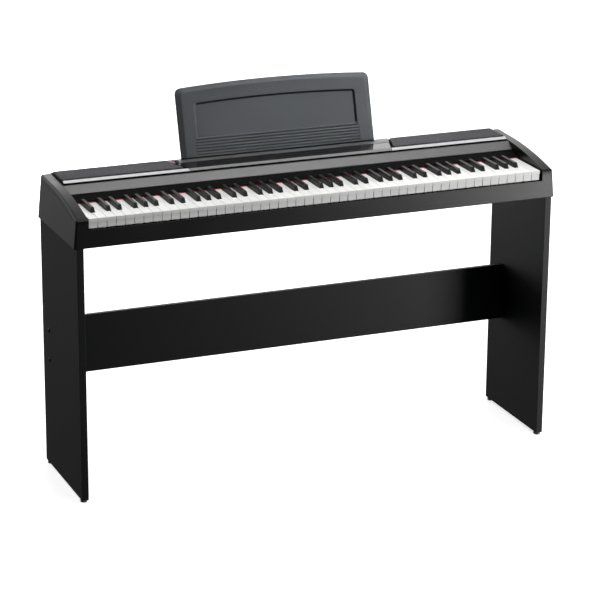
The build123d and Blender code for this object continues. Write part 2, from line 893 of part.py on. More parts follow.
def jack_panel_z():
    """The height of the jacks' middle line."""
    return (jack_panel_low + crown_rear_z - cheek_cap_depth) / 2


def along_y(x, z, y0, y1, radius):
    """A round bar along Y."""
    return Pos(x, (y0 + y1) / 2, z) * Rot(90, 0, 0) * Cylinder(radius, y1 - y0)


def jack_panel():
    """The rear plate in the case's notch, with three jacks and the power inlet."""
    half = jack_panel_length / 2
    top = crown_rear_z - cheek_cap_depth - seam_gap
    inner = case_depth - case_wall
    plate = box(
        jack_panel_x - half + joint_gap,
        jack_panel_x + half - joint_gap,
        inner,
        inner + jack_panel_wall,
        jack_panel_low + joint_gap,
        top,
    )
    flange_front = inner - jack_panel_wall
    plate += box(
        jack_panel_x - half - jack_flange,
        jack_panel_x + half + jack_flange,
        flange_front,
        inner,
        jack_panel_low - jack_flange,
        top - 2 * jack_flange,
    )
    places = jack_places()
    z = jack_panel_z()
    face = inner + jack_panel_wall
    for x in places:
        plate += along_y(x, z, flange_front - jack_barrel_length, inner, jack_barrel_radius)
    for x in places[:-1]:
        plate -= along_y(x, z, flange_front - jack_barrel_length + 2, face + 1, jack_radius)
    inlet = along_y(places[-1], z, flange_front - jack_barrel_length + 2, face + 1, inlet_radius)
    pin = along_y(places[-1], z, flange_front - jack_barrel_length, inner, inlet_radius / 4)
    return plate - inlet + pin


def lug_places():
    """The boundaries between octaves, where the rods are held."""
    ends = [index + 1 for index in range(white_key_count) if letter(index) == "B"]
    return [keyboard_left + count * key_pitch for count in ends]


def end_lug_spans():
    """The X limits of the two end lugs."""
    inner = keyboard_width / 2 + end_lug_gap
    return [(inner, inner + end_lug_thickness), (-inner - end_lug_thickness, -inner)]


def key_frame():
    """The chassis: a base plate, a rear wall, and lugs that hold both rods and the contact board."""
    half = keyboard_width / 2 + end_lug_gap + end_lug_thickness
    front = front_rail_wall + case_wall
    rear = key_pivot_y + hub_radius + frame_rear_gap
    frame = box(-half, half, front, rear, case_floor, frame_top)
    frame += box(-half, half, rear - frame_plate, rear, case_floor, case_floor + frame_rear_height)
    board_y = key_setback + contact_board_setback
    spans = [(x - lug_thickness / 2, x + lug_thickness / 2) for x in lug_places()] + end_lug_spans()
    for x0, x1 in spans:
        for y, z in ((key_pivot_y, key_pivot_z), (hammer_pivot_y, hammer_pivot_height)):
            frame += box(x0, x1, y - lug_depth / 2, y + lug_depth / 2, case_floor, z + lug_cover)
        frame += box(x0, x1, board_y, board_y + contact_board_depth, case_floor, contact_board_height)
    for y, z in ((key_pivot_y, key_pivot_z), (hammer_pivot_y, hammer_pivot_height)):
        frame -= rod_along_x(-half - 1, half + 1, y, z, rod_radius + rod_clearance)
    for x, y in case_screw_places()[::2]:
        frame += post(x, y, case_floor, case_screw_bite + boss_top_gap, boss_radius)
        frame -= case_screw_hole(x, y)
    return frame


def pivot_rod(y, z):
    """A steel rod from end lug to end lug."""
    half = keyboard_width / 2 + end_lug_gap + end_lug_thickness
    return rod_along_x(-half, half, y, z, rod_radius)


# Stand


def right_leg():
    """The right leg board, drilled for its bolts, bracket screws and glides."""
    board = box(
        leg_inner, leg_outer, leg_setback, case_depth - leg_setback, floor_z + glide_height, 0
    )
    board = fillet(board.edges().filter_by(Axis.Z), board_edge_round)
    for y, z in bolt_places():
        board -= rod_along_x(leg_inner - 1, leg_outer + 1, y, z, bolt_radius + fastener_clearance)
    for y in screw_rows():
        reach = leg_inner + screw_bite + fastener_clearance
        hole = screw_radius + fastener_clearance
        board -= rod_along_x(leg_inner - 1, reach, y, bracket_screw_z(), hole)
    foot = floor_z + glide_height
    for y in glide_rows():
        stem_top = foot + glide_stem_length + fastener_clearance
        hole = glide_stem_radius + fastener_clearance
        board -= post((leg_inner + leg_outer) / 2, y, foot - 1, stem_top, hole)
    return board


def glide_rows():
    """The depths of the front and rear glides."""
    return [leg_setback + glide_inset, case_depth - leg_setback - glide_inset]


def glide(side, y):
    """One rounded foot with its stem."""
    x = side * (leg_inner + leg_outer) / 2
    foot = post(x, y, floor_z, floor_z + glide_height, glide_radius)
    foot = fillet(foot.edges().group_by(Axis.Z)[0], glide_round)
    top = floor_z + glide_height
    return foot + post(x, y, top - 1, top + glide_stem_length, glide_stem_radius)


def bolt_places():
    """The Y and Z of the two bolts in each leg, through the cleat's middle."""
    y = crossboard_y + crossboard_thickness + cleat_depth / 2
    low = floor_z + crossboard_low + bolt_low
    return [(y, low), (y, low + bolt_spacing)]


def crossboard():
    """The board between the legs, near the rear."""
    low = floor_z + crossboard_low
    rear = crossboard_y + crossboard_thickness
    board = box(-leg_inner, leg_inner, crossboard_y, rear, low, low + crossboard_height)
    return fillet(board.edges().filter_by(Axis.X), board_edge_round)


def cleat(side):
    """A block behind one end of the crossboard, which the leg's bolts screw into."""
    low = floor_z + crossboard_low
    y = crossboard_y + crossboard_thickness
    top = low + crossboard_height - cleat_top_gap
    block = box(leg_inner - cleat_width, leg_inner, y, y + cleat_depth, low, top)
    reach = bolt_length - leg_thickness + fastener_clearance
    for bolt_y, z in bolt_places():
        block -= rod_along_x(leg_inner - reach, leg_inner + 1, bolt_y, z, bolt_radius + fastener_clearance)
    return block if side > 0 else other_side(block)


def crossboard_bolt(side, y, z):
    """One bolt through a leg into a cleat, with a low domed head."""
    shank = rod_along_x(leg_outer - bolt_length, leg_outer, y, z, bolt_radius)
    head = rod_along_x(leg_outer, leg_outer + bolt_head_height, y, z, bolt_head_radius)
    head = fillet(head.edges().group_by(Axis.X)[-1], bolt_head_height / 2)
    bolt = shank + head
    return bolt if side > 0 else other_side(bolt)


def screw_rows():
    """The depths of the bracket screws."""
    return [screw_inset, case_depth - screw_inset]


def bracket_screw_z():
    """The height of the screws into the legs."""
    return -(bracket_leg + bracket_wall) / 2


def case_bolt_places():
    """The X and Y of the screws from the brackets up into the case."""
    x = leg_inner - (bracket_leg + bracket_wall) / 2
    return [(side * x, y) for side in (-1, 1) for y in screw_rows()]


def case_screw_places():
    """The X and Y of the screws in the case's floor."""
    first = -case_screw_pitch * (case_screw_columns - 1) / 2
    columns = [first + number * case_screw_pitch for number in range(case_screw_columns)]
    return [(x, y) for x in columns for y in (case_screw_inset, case_depth - case_screw_inset)]


def bracket(side):
    """An angle between one leg's inner face and the case's floor."""
    front = leg_setback + bracket_end_gap
    rear = case_depth - leg_setback - bracket_end_gap
    angle = box(leg_inner - bracket_wall, leg_inner, front, rear, -bracket_leg, 0)
    angle += box(leg_inner - bracket_leg, leg_inner, front, rear, -bracket_wall, 0)
    x = leg_inner - (bracket_leg + bracket_wall) / 2
    for y in screw_rows():
        angle -= post(x, y, -bracket_leg, 1, screw_radius + fastener_clearance)
        angle -= rod_along_x(
            leg_inner - bracket_leg, leg_inner + 1, y, bracket_screw_z(), screw_radius + fastener_clearance
        )
    return angle if side > 0 else other_side(angle)


def bracket_screw():
    """One screw at the origin, pointing up, with its head below."""
    head = post(0, 0, -screw_head_height, 0, screw_head_radius)
    head = fillet(head.edges().group_by(Axis.Z)[0], screw_head_height / 3)
    return head + post(0, 0, 0, bracket_wall + screw_bite, screw_radius)


def bracket_screws():
    """The screws that hold the brackets to the case and to the legs."""
    screws = [Pos(x, y, -bracket_wall) * bracket_screw() for x, y in case_bolt_places()]
    for y in screw_rows():
        sideways = Pos(leg_inner - bracket_wall, y, bracket_screw_z()) * Rot(0, 90, 0) * bracket_screw()
        screws += [sideways, other_side(sideways)]
    return screws


def case_screw_hole(x, y):
    """The hole for one screw up through the case's floor."""
    return post(x, y, -1, case_screw_bite + fastener_clearance, case_screw_radius + fastener_clearance)


def case_screw(x, y):
    """One screw in the case's floor."""
    head = post(x, y, -case_screw_head_height, 0, case_screw_head_radius)
    return head + post(x, y, 0, case_screw_bite, case_screw_radius)


# All pieces by node name


def note_name(index, black):
    """A middle-octave key's short name, such as c4 or cs4."""
    sharp = "s" if black else ""
    return letter(index).lower() + sharp + "4"


def keyboard_nodes():
    """Each middle-octave key and hammer by itself, and the other keys in bass and treble groups."""
    nodes = {}
    for index in range(first_middle_key, last_middle_key + 1):
        nodes["key_" + note_name(index, False)] = [white_key(index)]
        nodes["hammer_" + note_name(index, False)] = [hammer(key_middle(index, False))]
        if has_black(index):
            nodes["key_" + note_name(index, True)] = [black_key(index)]
            nodes["hammer_" + note_name(index, True)] = [hammer(key_middle(index, True))]
    groups = {
        "bass": range(first_middle_key),
        "treble": range(last_middle_key + 1, white_key_count),
    }
    for group, members in groups.items():
        blacks = [index for index in members if has_black(index)]
        nodes[group + "_white_keys"] = [white_key(index) for index in members]
        nodes[group + "_black_keys"] = [black_key(index) for index in blacks]
        middles = [key_middle(index, False) for index in members]
        middles += [key_middle(index, True) for index in blacks]
        nodes[group + "_hammers"] = [hammer(x) for x in middles]
    return nodes


def all_nodes():
    """Every node's solids by name, laid out from the case's lower front edge."""
    cheek = right_cheek()
    grille = right_grille()
    strip = right_trim_strip()
    leg = right_leg()
    nodes = {
        "right_leg_board": [leg],
        "left_leg_board": [other_side(leg)],
        "crossboard": [crossboard()],
        "crossboard_cleats": [cleat(1), cleat(-1)],
        "crossboard_bolts": [crossboard_bolt(side, y, z) for side in (1, -1) for y, z in bolt_places()],
        "leg_glides": [glide(side, y) for side in (1, -1) for y in glide_rows()],
        "stand_brackets": [bracket(1), bracket(-1)],
        "bracket_screws": bracket_screws(),
        "lower_case": [lower_case()],
        "right_cheek": [cheek],
        "left_cheek": [other_side(cheek)],
        "top_deck": [top_deck()],
        "right_speaker_grille": [grille],
        "left_speaker_grille": [other_side(grille)],
        "right_trim_strip": [strip],
        "left_trim_strip": [other_side(strip)],
        "centre_panel": [centre_panel()],
        "red_felt_strip": [felt_strip()],
        "nameboard": [nameboard()],
        "music_rest": [music_rest()],
        "power_button": [power_button()],
        "volume_knob": [volume_knob()],
        "case_screws": [case_screw(x, y) for x, y in case_screw_places()],
        "key_frame": [key_frame()],
        "key_pivot_rod": [pivot_rod(key_pivot_y, key_pivot_z)],
        "hammer_pivot_rod": [pivot_rod(hammer_pivot_y, hammer_pivot_height)],
        "contact_board": [contact_board()],
        "main_board": [main_board()],
        "speaker_drivers": [speaker(1), speaker(-1)],
        "jack_panel": [jack_panel()],
    }
    nodes.update(keyboard_nodes())
    return nodes


def whole_depth():
    """The depth from the case's front to the top of the leaning music rest's back."""
    lean = math.radians(rest_lean)
    return rest_front_y + rest_height * math.sin(lean) + rest_thickness * math.cos(lean)


def write_parts():
    """Moves every node to the floor frame and writes one file for each."""
    os.makedirs("parts", exist_ok=True)
    to_floor = Pos(0, -whole_depth() / 2, stand_height)
    for name, solids in all_nodes().items():
        placed = []
        for shape in solids:
            placed += (to_floor * shape).solids()
        part = placed[0] if len(placed) == 1 else Compound(children=placed)
        export_step(part, os.path.join("parts", name + ".step"))


write_parts()
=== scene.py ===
import logging
import math
from abc import ABC, abstractmethod
from dataclasses import dataclass
from enum import Enum
from typing import Any, Mapping, Sequence, Union

import bmesh
import bpy
from mathutils import Matrix, Vector


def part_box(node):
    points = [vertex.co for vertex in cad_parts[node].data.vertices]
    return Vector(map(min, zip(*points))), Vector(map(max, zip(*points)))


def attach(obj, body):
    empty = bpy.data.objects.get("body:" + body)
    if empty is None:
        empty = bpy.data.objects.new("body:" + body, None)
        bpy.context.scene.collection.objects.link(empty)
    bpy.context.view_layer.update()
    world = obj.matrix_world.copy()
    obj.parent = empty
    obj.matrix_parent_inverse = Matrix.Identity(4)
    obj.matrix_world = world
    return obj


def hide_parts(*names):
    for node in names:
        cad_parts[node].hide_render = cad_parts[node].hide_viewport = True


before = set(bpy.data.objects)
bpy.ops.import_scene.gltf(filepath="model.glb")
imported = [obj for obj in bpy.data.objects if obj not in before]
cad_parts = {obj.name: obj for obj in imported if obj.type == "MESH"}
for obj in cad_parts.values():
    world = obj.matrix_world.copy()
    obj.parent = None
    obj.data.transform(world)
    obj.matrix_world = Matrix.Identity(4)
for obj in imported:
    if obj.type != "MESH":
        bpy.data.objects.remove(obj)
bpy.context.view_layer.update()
LOG = logging.getLogger("digital_piano")

Socket = bpy.types.NodeSocket
Mesh = bmesh.types.BMesh
Vert = bmesh.types.BMVert
Colour = tuple[float, float, float]
Point = tuple[float, float, float]
Operand = Union["Wire", float]

ROOT = "piano"
OCTAVE = ("c", "cs", "d", "ds", "e", "f", "fs", "g", "gs", "a", "as", "b")
CREASE_ANGLE = 32.0  # degrees between faces that keep a sharp edge
MERGE_DISTANCE = 1e-7  # metres between vertices that become one
LINE_BLUR = 0.0002  # metres over which a line between two finishes fades
EDGE_BLUR = 0.0003  # the same where the line lies on a moulded edge


class Run(Enum):
    """The direction that a brushed or grained surface runs in."""

    ACROSS = (0.02, 1.0, 1.0)
    DEEP = (1.0, 0.02, 1.0)
    UP = (1.0, 1.0, 0.02)


@dataclass(frozen=True)
class Wire:
    """A number in a shader that Python arithmetic can work on."""

    graph: "Graph"
    socket: Socket

    def _math(self, operation: str, first: Operand, second: Operand) -> "Wire":
        """Adds one Math node and returns what it gives."""
        node = self.graph.node("ShaderNodeMath", {"operation": operation}, {0: first, 1: second})
        return Wire(self.graph, node.outputs[0])

    def __add__(self, other: Operand) -> "Wire":
        """This value plus another."""
        return self._math("ADD", self, other)

    def __radd__(self, other: Operand) -> "Wire":
        """Another value plus this one."""
        return self._math("ADD", other, self)

    def __sub__(self, other: Operand) -> "Wire":
        """This value less another."""
        return self._math("SUBTRACT", self, other)

    def __rsub__(self, other: Operand) -> "Wire":
        """Another value less this one."""
        return self._math("SUBTRACT", other, self)

    def __mul__(self, other: Operand) -> "Wire":
        """This value times another."""
        return self._math("MULTIPLY", self, other)

    def __rmul__(self, other: Operand) -> "Wire":
        """Another value times this one."""
        return self._math("MULTIPLY", other, self)

    def lesser(self, other: Operand) -> "Wire":
        """The smaller of this value and another."""
        return self._math("MINIMUM", self, other)

    def greater(self, other: Operand) -> "Wire":
        """The larger of this value and another."""
        return self._math("MAXIMUM", self, other)

    def sine(self) -> "Wire":
        """The sine of this value."""
        return self._math("SINE", self, 0.0)

    def size(self) -> "Wire":
        """This value without its sign."""
        return self._math("ABSOLUTE", self, 0.0)

    def rise(self, low: float, high: float) -> "Wire":
        """A smooth step of this value.

        Args:
            low: The value where the step starts, at 0.
            high: The value where the step ends, at 1.

        Returns:
            The step, from 0 to 1.
        """
        settings = {"interpolation_type": "SMOOTHSTEP"}
        node = self.graph.node(
            "ShaderNodeMapRange", settings, {"Value": self, "From Min": low, "From Max": high}
        )
        return Wire(self.graph, node.outputs["Result"])

    def fall(self, low: float, high: float) -> "Wire":
        """A smooth step from 1 down to 0.

        Args:
            low: The value where the step starts, at 1.
            high: The value where the step ends, at 0.

        Returns:
            The step, from 1 to 0.
        """
        return 1.0 - self.rise(low, high)


@dataclass(frozen=True)
class Graph:
    """The nodes of one material, or of the world."""

    tree: bpy.types.NodeTree

    def node(
        self, kind: str, settings: Mapping[str, Any], sockets: Mapping[Union[str, int], Any]
    ) -> bpy.types.Node:
        """Adds one node.

        Args:
            kind: Blender's name for the node's type.
            settings: The node's own settings, which are made first.
            sockets: Values, wires or sockets for its inputs, by name or number.

        Returns:
            The new node.
        """
        made = self.tree.nodes.new(kind)
        for name, value in settings.items():
            setattr(made, name, value)
        for key, value in sockets.items():
            if isinstance(value, Wire):
                value = value.socket
            if isinstance(value, Socket):
                self.tree.links.new(value, made.inputs[key])
            else:
                made.inputs[key].default_value = value
        return made

    def place(self) -> Socket:
        """The point on the piece, in metres in the object's frame."""
        return self.node("ShaderNodeTexCoord", {}, {}).outputs["Object"]

    def axes(self, point: Socket) -> tuple[Wire, Wire, Wire]:
        """The three parts of a point."""
        parts = self.node("ShaderNodeSeparateXYZ", {}, {"Vector": point}).outputs
        return Wire(self, parts[0]), Wire(self, parts[1]), Wire(self, parts[2])

    def stretch(self, point: Socket, scale: Sequence[float]) -> Socket:
        """A point scaled along each axis, for patterns that run one way."""
        sockets = {"Vector": point, "Scale": scale}
        return self.node("ShaderNodeMapping", {}, sockets).outputs["Vector"]

    def noise(self, point: Socket, size: float, detail: float) -> Wire:
        """Soft random spots.

        Args:
            point: Where the pattern is read.
            size: The spots' size in metres.
            detail: How many finer layers it has.

        Returns:
            A value around a half.
        """
        sockets = {"Vector": point, "Scale": 1.0 / size, "Detail": detail}
        return Wire(self, self.node("ShaderNodeTexNoise", {}, sockets).outputs["Fac"])

    def specks(self, point: Socket, size: float) -> Wire:
        """The distance to the nearest of many scattered points, in cells of a given size."""
        sockets = {"Vector": point, "Scale": 1.0 / size}
        return Wire(self, self.node("ShaderNodeTexVoronoi", {}, sockets).outputs["Distance"])

    def blend(self, share: Operand, first: Any, second: Any) -> Socket:
        """One colour going over into another.

        Args:
            share: How much of the second colour shows.
            first: The colour, or its socket, at 0.
            second: The colour, or its socket, at 1.

        Returns:
            The mixed colour's socket.
        """
        sockets = {"Factor": share, 6: self._rgba(first), 7: self._rgba(second)}
        return self.node("ShaderNodeMix", {"data_type": "RGBA"}, sockets).outputs[2]

    @staticmethod
    def _rgba(colour: Any) -> Any:
        """A colour with its alpha, or the socket as it is."""
        return colour if isinstance(colour, Socket) else (*colour, 1.0)

    def bump(self, height: Wire, depth: float, strength: float) -> Socket:
        """A surface normal from a height.

        Args:
            height: The height, from 0 to 1.
            depth: How deep that is, in metres.
            strength: How much of it shows.

        Returns:
            The normal's socket.
        """
        sockets = {"Height": height, "Distance": depth, "Strength": strength}
        return self.node("ShaderNodeBump", {}, sockets).outputs["Normal"]

    def surface(self, sockets: Mapping[str, Any]) -> Socket:
        """The main shader with the given inputs."""
        return self.node("ShaderNodeBsdfPrincipled", {}, sockets).outputs["BSDF"]

    def matt(self, colour: Colour) -> Socket:
        """A dull surface of one colour, for gaps and unseen sides."""
        sockets = {"Base Color": self._rgba(colour), "Roughness": 0.8, "Specular IOR Level": 0.1}
        return self.surface(sockets)

    def layer(self, share: Wire, under: Socket, over: Socket) -> Socket:
        """One surface going over into another.

        Args:
            share: How much of the second surface shows.
            under: The surface at 0.
            over: The surface at 1.

        Returns:
            The layered surface's socket.
        """
        return self.node("ShaderNodeMixShader", {}, {0: share, 1: under, 2: over}).outputs[0]


def scaled(colour: Colour, factor: float) -> Colour:
    """A colour made darker or lighter by a factor."""
    red, green, blue = colour
    return red * factor, green * factor, blue * factor


def lifted(colour: Colour, rise: float) -> Colour:
    """A colour with the same amount added to each part."""
    red, green, blue = colour
    return red + rise, green + rise, blue + rise


@dataclass(frozen=True)
class Finish(ABC):
    """How one material of the piano looks."""

    name: str

    @abstractmethod
    def shade(self, graph: Graph) -> Socket:
        """Builds the shader.

        Args:
            graph: The material's nodes.

        Returns:
            The shader's socket.
        """

    def material(self) -> bpy.types.Material:
        """Makes the finish's Blender material, or finds it if it is there.

        Returns:
            The material.
        """
        found = bpy.data.materials.get(self.name)
        if found is not None:
            return found
        made = bpy.data.materials.new(self.name)
        made.use_nodes = True
        made.node_tree.nodes.clear()
        graph = Graph(made.node_tree)
        graph.node("ShaderNodeOutputMaterial", {}, {"Surface": self.shade(graph)})
        return made


@dataclass(frozen=True)
class MouldedPlastic(Finish):
    """Moulded plastic with a fine grain and faint cloudy patches in its sheen."""

    colour: Colour
    roughness: float
    grain: float = 0.0011
    depth: float = 0.00004
    cloud: float = 0.10
    cloud_size: float = 0.16
    fine_cloud: float = 0.06
    contrast: float = 0.18
    specular: float = 0.5

    def shade(self, graph: Graph) -> Socket:
        """Grain in the bump, patches in colour and roughness.

        Args:
            graph: The material's nodes.

        Returns:
            The shader's socket.
        """
        point = graph.place()
        fine = graph.noise(point, self.grain, detail=3.0)
        broad = graph.noise(point, self.cloud_size, detail=4.0)
        smooth = self.roughness - (self.fine_cloud + self.cloud) / 2.0
        dark = scaled(self.colour, 1.0 - self.contrast)
        light = scaled(self.colour, 1.0 + self.contrast)
        return graph.surface(
            {
                "Base Color": graph.blend(broad, dark, light),
                "Roughness": broad * self.cloud + fine * self.fine_cloud + smooth,
                "Specular IOR Level": self.specular,
                "Normal": graph.bump(fine, self.depth, strength=0.6),
            }
        )


@dataclass(frozen=True)
class RestPlastic(MouldedPlastic):
    """The rest's plastic: slate on its face, black behind it, and painted shade in black on its
    foot and on the recess's upper and right walls.
    """

    # black behind the face, also used for the painted shade on the foot and on the recess walls
    shell_and_painted_shade: Colour = (0.010, 0.010, 0.0105)
    base_deep: float = 0.0
    base_up: float = 0.0
    lean: float = 0.0
    # height up the face of the painted shade on the foot
    painted_shade_foot_top: float = 0.0
    face_depth: float = 0.0047
    # where the painted shade on the recess's walls lies, and how its edges fade
    recess_left: float = -0.218
    recess_right: float = 0.24
    recess_low: float = 0.056
    recess_high: float = 0.156
    wall_front: float = 0.0004
    wall_back: float = 0.0043
    front_blur: float = 0.0004
    back_blur: float = 0.0005
    side_blur: float = 0.004
    low_blur: float = 0.001
    high_blur: float = 0.002

    def shade(self, graph: Graph) -> Socket:
        """Slate on the face, dull black behind it, and painted shade in dull black on the foot and
        on the recess's upper and right walls.

        Args:
            graph: The material's nodes.

        Returns:
            The shader's socket.
        """
        across, deep, up = graph.axes(graph.place())
        run = math.sin(math.radians(self.lean))
        climb = math.cos(math.radians(self.lean))
        behind = (deep - self.base_deep) * climb - (up - self.base_up) * run
        along = (deep - self.base_deep) * run + (up - self.base_up) * climb
        back = behind.rise(self.face_depth, self.face_depth + LINE_BLUR)
        # painted shade: the foot just above the deck in black, for the shadow where the rest
        # stands in its slot
        foot = along.fall(self.painted_shade_foot_top - LINE_BLUR, self.painted_shade_foot_top)
        # painted shade: the recess's upper and right walls in black
        walls = self._painted_wall_shade(across, behind, along)
        black = back.greater(foot).greater(walls)
        return graph.layer(black, super().shade(graph), graph.matt(self.shell_and_painted_shade))

    def _painted_wall_shade(self, across: Wire, behind: Wire, along: Wire) -> Wire:
        """Where the painted shade on the recess's upper and right walls lies.

        Args:
            across: The place along the rest's width.
            behind: The depth behind the rest's face.
            along: The height up the leaning face.

        Returns:
            A mask, 1 where the walls are painted as shade.
        """
        sunk = behind.rise(self.wall_front, self.wall_front + self.front_blur)
        sunk = sunk * behind.fall(self.wall_back - self.back_blur, self.wall_back)
        wide = across.rise(self.recess_left, self.recess_left + self.side_blur)
        wide = wide * across.fall(self.recess_right, self.recess_right + self.side_blur)
        tall = along.rise(self.recess_low, self.recess_low + self.low_blur)
        tall = tall * along.fall(self.recess_high, self.recess_high + self.high_blur)
        return sunk * wide * tall


@dataclass(frozen=True)
class DeckSatin(Finish):
    """The deck's moulding: a satin sloping face and rear pad, with painted shade in dull black
    between them.
    """

    face: Colour
    # painted shade in the gaps behind the face and below the pad
    painted_gap_shade: Colour
    edge: float
    pad_low: float
    roughness: float = 0.36
    streak: float = 0.0008
    contrast: float = 0.14
    pad_blur: float = 0.0005

    def shade(self, graph: Graph) -> Socket:
        """Streaks on the face and the pad, and painted shade in black behind the face's rear edge
        and below the pad.

        Args:
            graph: The material's nodes.

        Returns:
            The shader's socket.
        """
        point = graph.place()
        _, deep, up = graph.axes(point)
        # painted shade: black behind the face's rear edge and below the pad's top
        behind = deep.rise(self.edge, self.edge + EDGE_BLUR)
        sunk = behind * up.fall(self.pad_low, self.pad_low + self.pad_blur)
        streaks = graph.noise(graph.stretch(point, Run.ACROSS.value), self.streak, detail=3.0)
        broad = graph.noise(point, size=0.2, detail=3.0)
        dark = scaled(self.face, 1.0 - self.contrast)
        light = scaled(self.face, 1.0 + self.contrast)
        satin = graph.surface(
            {
                "Base Color": graph.blend(streaks, dark, light),
                "Roughness": streaks * 0.10 + broad * 0.06 + (self.roughness - 0.08),
                "Normal": graph.bump(streaks, depth=0.00002, strength=0.4),
            }
        )
        return graph.layer(sunk, satin, graph.matt(self.painted_gap_shade))


@dataclass(frozen=True)
class BrushedFinish(Finish):
    """A satin surface with fine streaks along one direction, plastic or metal."""

    colour: Colour
    roughness: float
    run: Run
    metal: float = 0.0
    streak: float = 0.0007
    depth: float = 0.00002
    contrast: float = 0.18

    def shade(self, graph: Graph) -> Socket:
        """Streaks in colour, roughness and bump.

        Args:
            graph: The material's nodes.

        Returns:
            The shader's socket.
        """
        point = graph.place()
        streaks = graph.noise(graph.stretch(point, self.run.value), self.streak, detail=3.0)
        broad = graph.noise(point, size=0.2, detail=3.0)
        dark = scaled(self.colour, 1.0 - self.contrast)
        light = scaled(self.colour, 1.0 + self.contrast)
        return graph.surface(
            {
                "Base Color": graph.blend(streaks, dark, light),
                "Roughness": streaks * 0.12 + broad * 0.06 + (self.roughness - 0.09),
                "Metallic": self.metal,
                "Normal": graph.bump(streaks, self.depth, strength=0.5),
            }
        )


@dataclass(frozen=True)
class LippedMetal(BrushedFinish):
    """Brushed metal down to the lip, with painted shade in black below it."""

    lip: float = 0.0
    # painted shade under the lip
    below: Colour = (0.004, 0.004, 0.004)

    def shade(self, graph: Graph) -> Socket:
        """The brushed surface above the lip, and painted shade as a matt black one under it.

        Args:
            graph: The material's nodes.

        Returns:
            The shader's socket.
        """
        up = graph.axes(graph.place())[2]
        above = up.rise(self.lip - LINE_BLUR, self.lip)
        # painted shade: matt black below the lip
        return graph.layer(above, graph.matt(self.below), super().shade(graph))


@dataclass(frozen=True)
class BoardLaminate(Finish):
    """Black laminated board with a pressed wood grain and lightly rubbed edges."""

    colour: Colour
    roughness: float
    run: Run
    low: Point
    high: Point
    rub: float = 0.0012
    grain: float = 0.0016
    pore: float = 0.0006

    def shade(self, graph: Graph) -> Socket:
        """Grain along the board, and a rub near each of its edges.

        Args:
            graph: The material's nodes.

        Returns:
            The shader's socket.
        """
        point = graph.place()
        along = graph.stretch(point, self.run.value)
        grain = graph.noise(along, self.grain, detail=5.0)
        pores = graph.noise(along, self.pore, detail=2.0).rise(0.54, 0.72)
        broad = graph.noise(point, size=0.25, detail=3.0)
        edge = self._edge(graph, point) + (broad - 0.5) * self.rub
        rubbed = edge.fall(0.0, self.rub)
        face = graph.blend(grain, scaled(self.colour, 0.8), scaled(self.colour, 1.25))
        worn = lifted(scaled(self.colour, 2.4), 0.008)
        return graph.surface(
            {
                "Base Color": graph.blend(rubbed * 0.8, face, worn),
                "Roughness": grain * 0.10 + pores * 0.08 + (self.roughness - 0.07),
                "Specular IOR Level": 0.2,
                "Normal": graph.bump(grain * 0.6 - pores * 0.5, depth=0.00006, strength=0.6),
            }
        )

    def _edge(self, graph: Graph, point: Socket) -> Wire:
        """The distance from a point on the board's surface to its nearest edge.

        Args:
            graph: The material's nodes.
            point: The point on the board.

        Returns:
            The distance in metres.
        """
        gaps = []
        for value, low, high in zip(graph.axes(point), self.low, self.high):
            middle = (low + high) / 2.0
            gaps.append((high - low) / 2.0 - (value - middle).size())
        across, deep, up = gaps
        first = across.greater(deep)
        second = deep.greater(up)
        third = across.greater(up)
        return first.lesser(second).lesser(third)


@dataclass(frozen=True)
class SpeakerCloth(Finish):
    """Woven speaker cloth over a black moulded rim."""

    rim: Colour
    thread: Colour
    fleck: Colour
    top: float
    fold: float = 0.0011
    pitch: float = 0.0011

    def shade(self, graph: Graph) -> Socket:
        """A plain weave on the top face, black below it.

        Args:
            graph: The material's nodes.

        Returns:
            The shader's socket.
        """
        point = graph.place()
        across, deep, up = graph.axes(point)
        warp = (across * (math.tau / self.pitch)).sine()
        weft = (deep * (math.tau / self.pitch)).sine()
        weave = (warp * weft) * 0.5 + 0.5
        fluff = graph.noise(point, size=0.0017, detail=4.0)
        flecks = fluff.rise(0.42, 0.62)
        cloth = up.rise(self.top - self.fold, self.top - self.fold * 0.6)
        threads = graph.blend(flecks * 0.75 + weave * 0.25, self.thread, self.fleck)
        return graph.surface(
            {
                "Base Color": graph.blend(cloth, self.rim, threads),
                "Roughness": cloth * 0.38 + 0.5,
                "Specular IOR Level": 0.35,
                "Normal": graph.bump((weave * 0.5 + fluff) * cloth, depth=0.0003, strength=0.55),
            }
        )


@dataclass(frozen=True)
class PolishedPanel(Finish):
    """Polished black plastic with a faint ripple, a little dust and a satin metal front edge."""

    colour: Colour
    bezel_edge: float
    bezel_low: float
    bezel: Colour = (0.29, 0.29, 0.286)
    roughness: float = 0.09
    specular: float = 0.35
    dust_pitch: float = 0.006

    def shade(self, graph: Graph) -> Socket:
        """Dust specks and wiped patches in the roughness, metal in front of the bezel's edge.

        Args:
            graph: The material's nodes.

        Returns:
            The shader's socket.
        """
        point = graph.place()
        wiped = graph.noise(graph.stretch(point, Run.ACROSS.value), size=0.02, detail=4.0)
        dust = graph.specks(point, self.dust_pitch).fall(0.04, 0.09)
        ripple = graph.noise(point, size=0.03, detail=1.0)
        _, deep, up = graph.axes(point)
        front = deep.fall(self.bezel_edge, self.bezel_edge + EDGE_BLUR)
        metal = front * up.rise(self.bezel_low - LINE_BLUR, self.bezel_low)
        polished = graph.blend(dust * 0.5, self.colour, lifted(self.colour, 0.05))
        return graph.surface(
            {
                "Base Color": graph.blend(metal, polished, self.bezel),
                "Roughness": wiped * 0.08 + dust * 0.3 + metal * 0.25 + (self.roughness - 0.04),
                "Metallic": metal,
                "Specular IOR Level": self.specular,
                "Normal": graph.bump(ripple, depth=0.00005, strength=0.4),
            }
        )


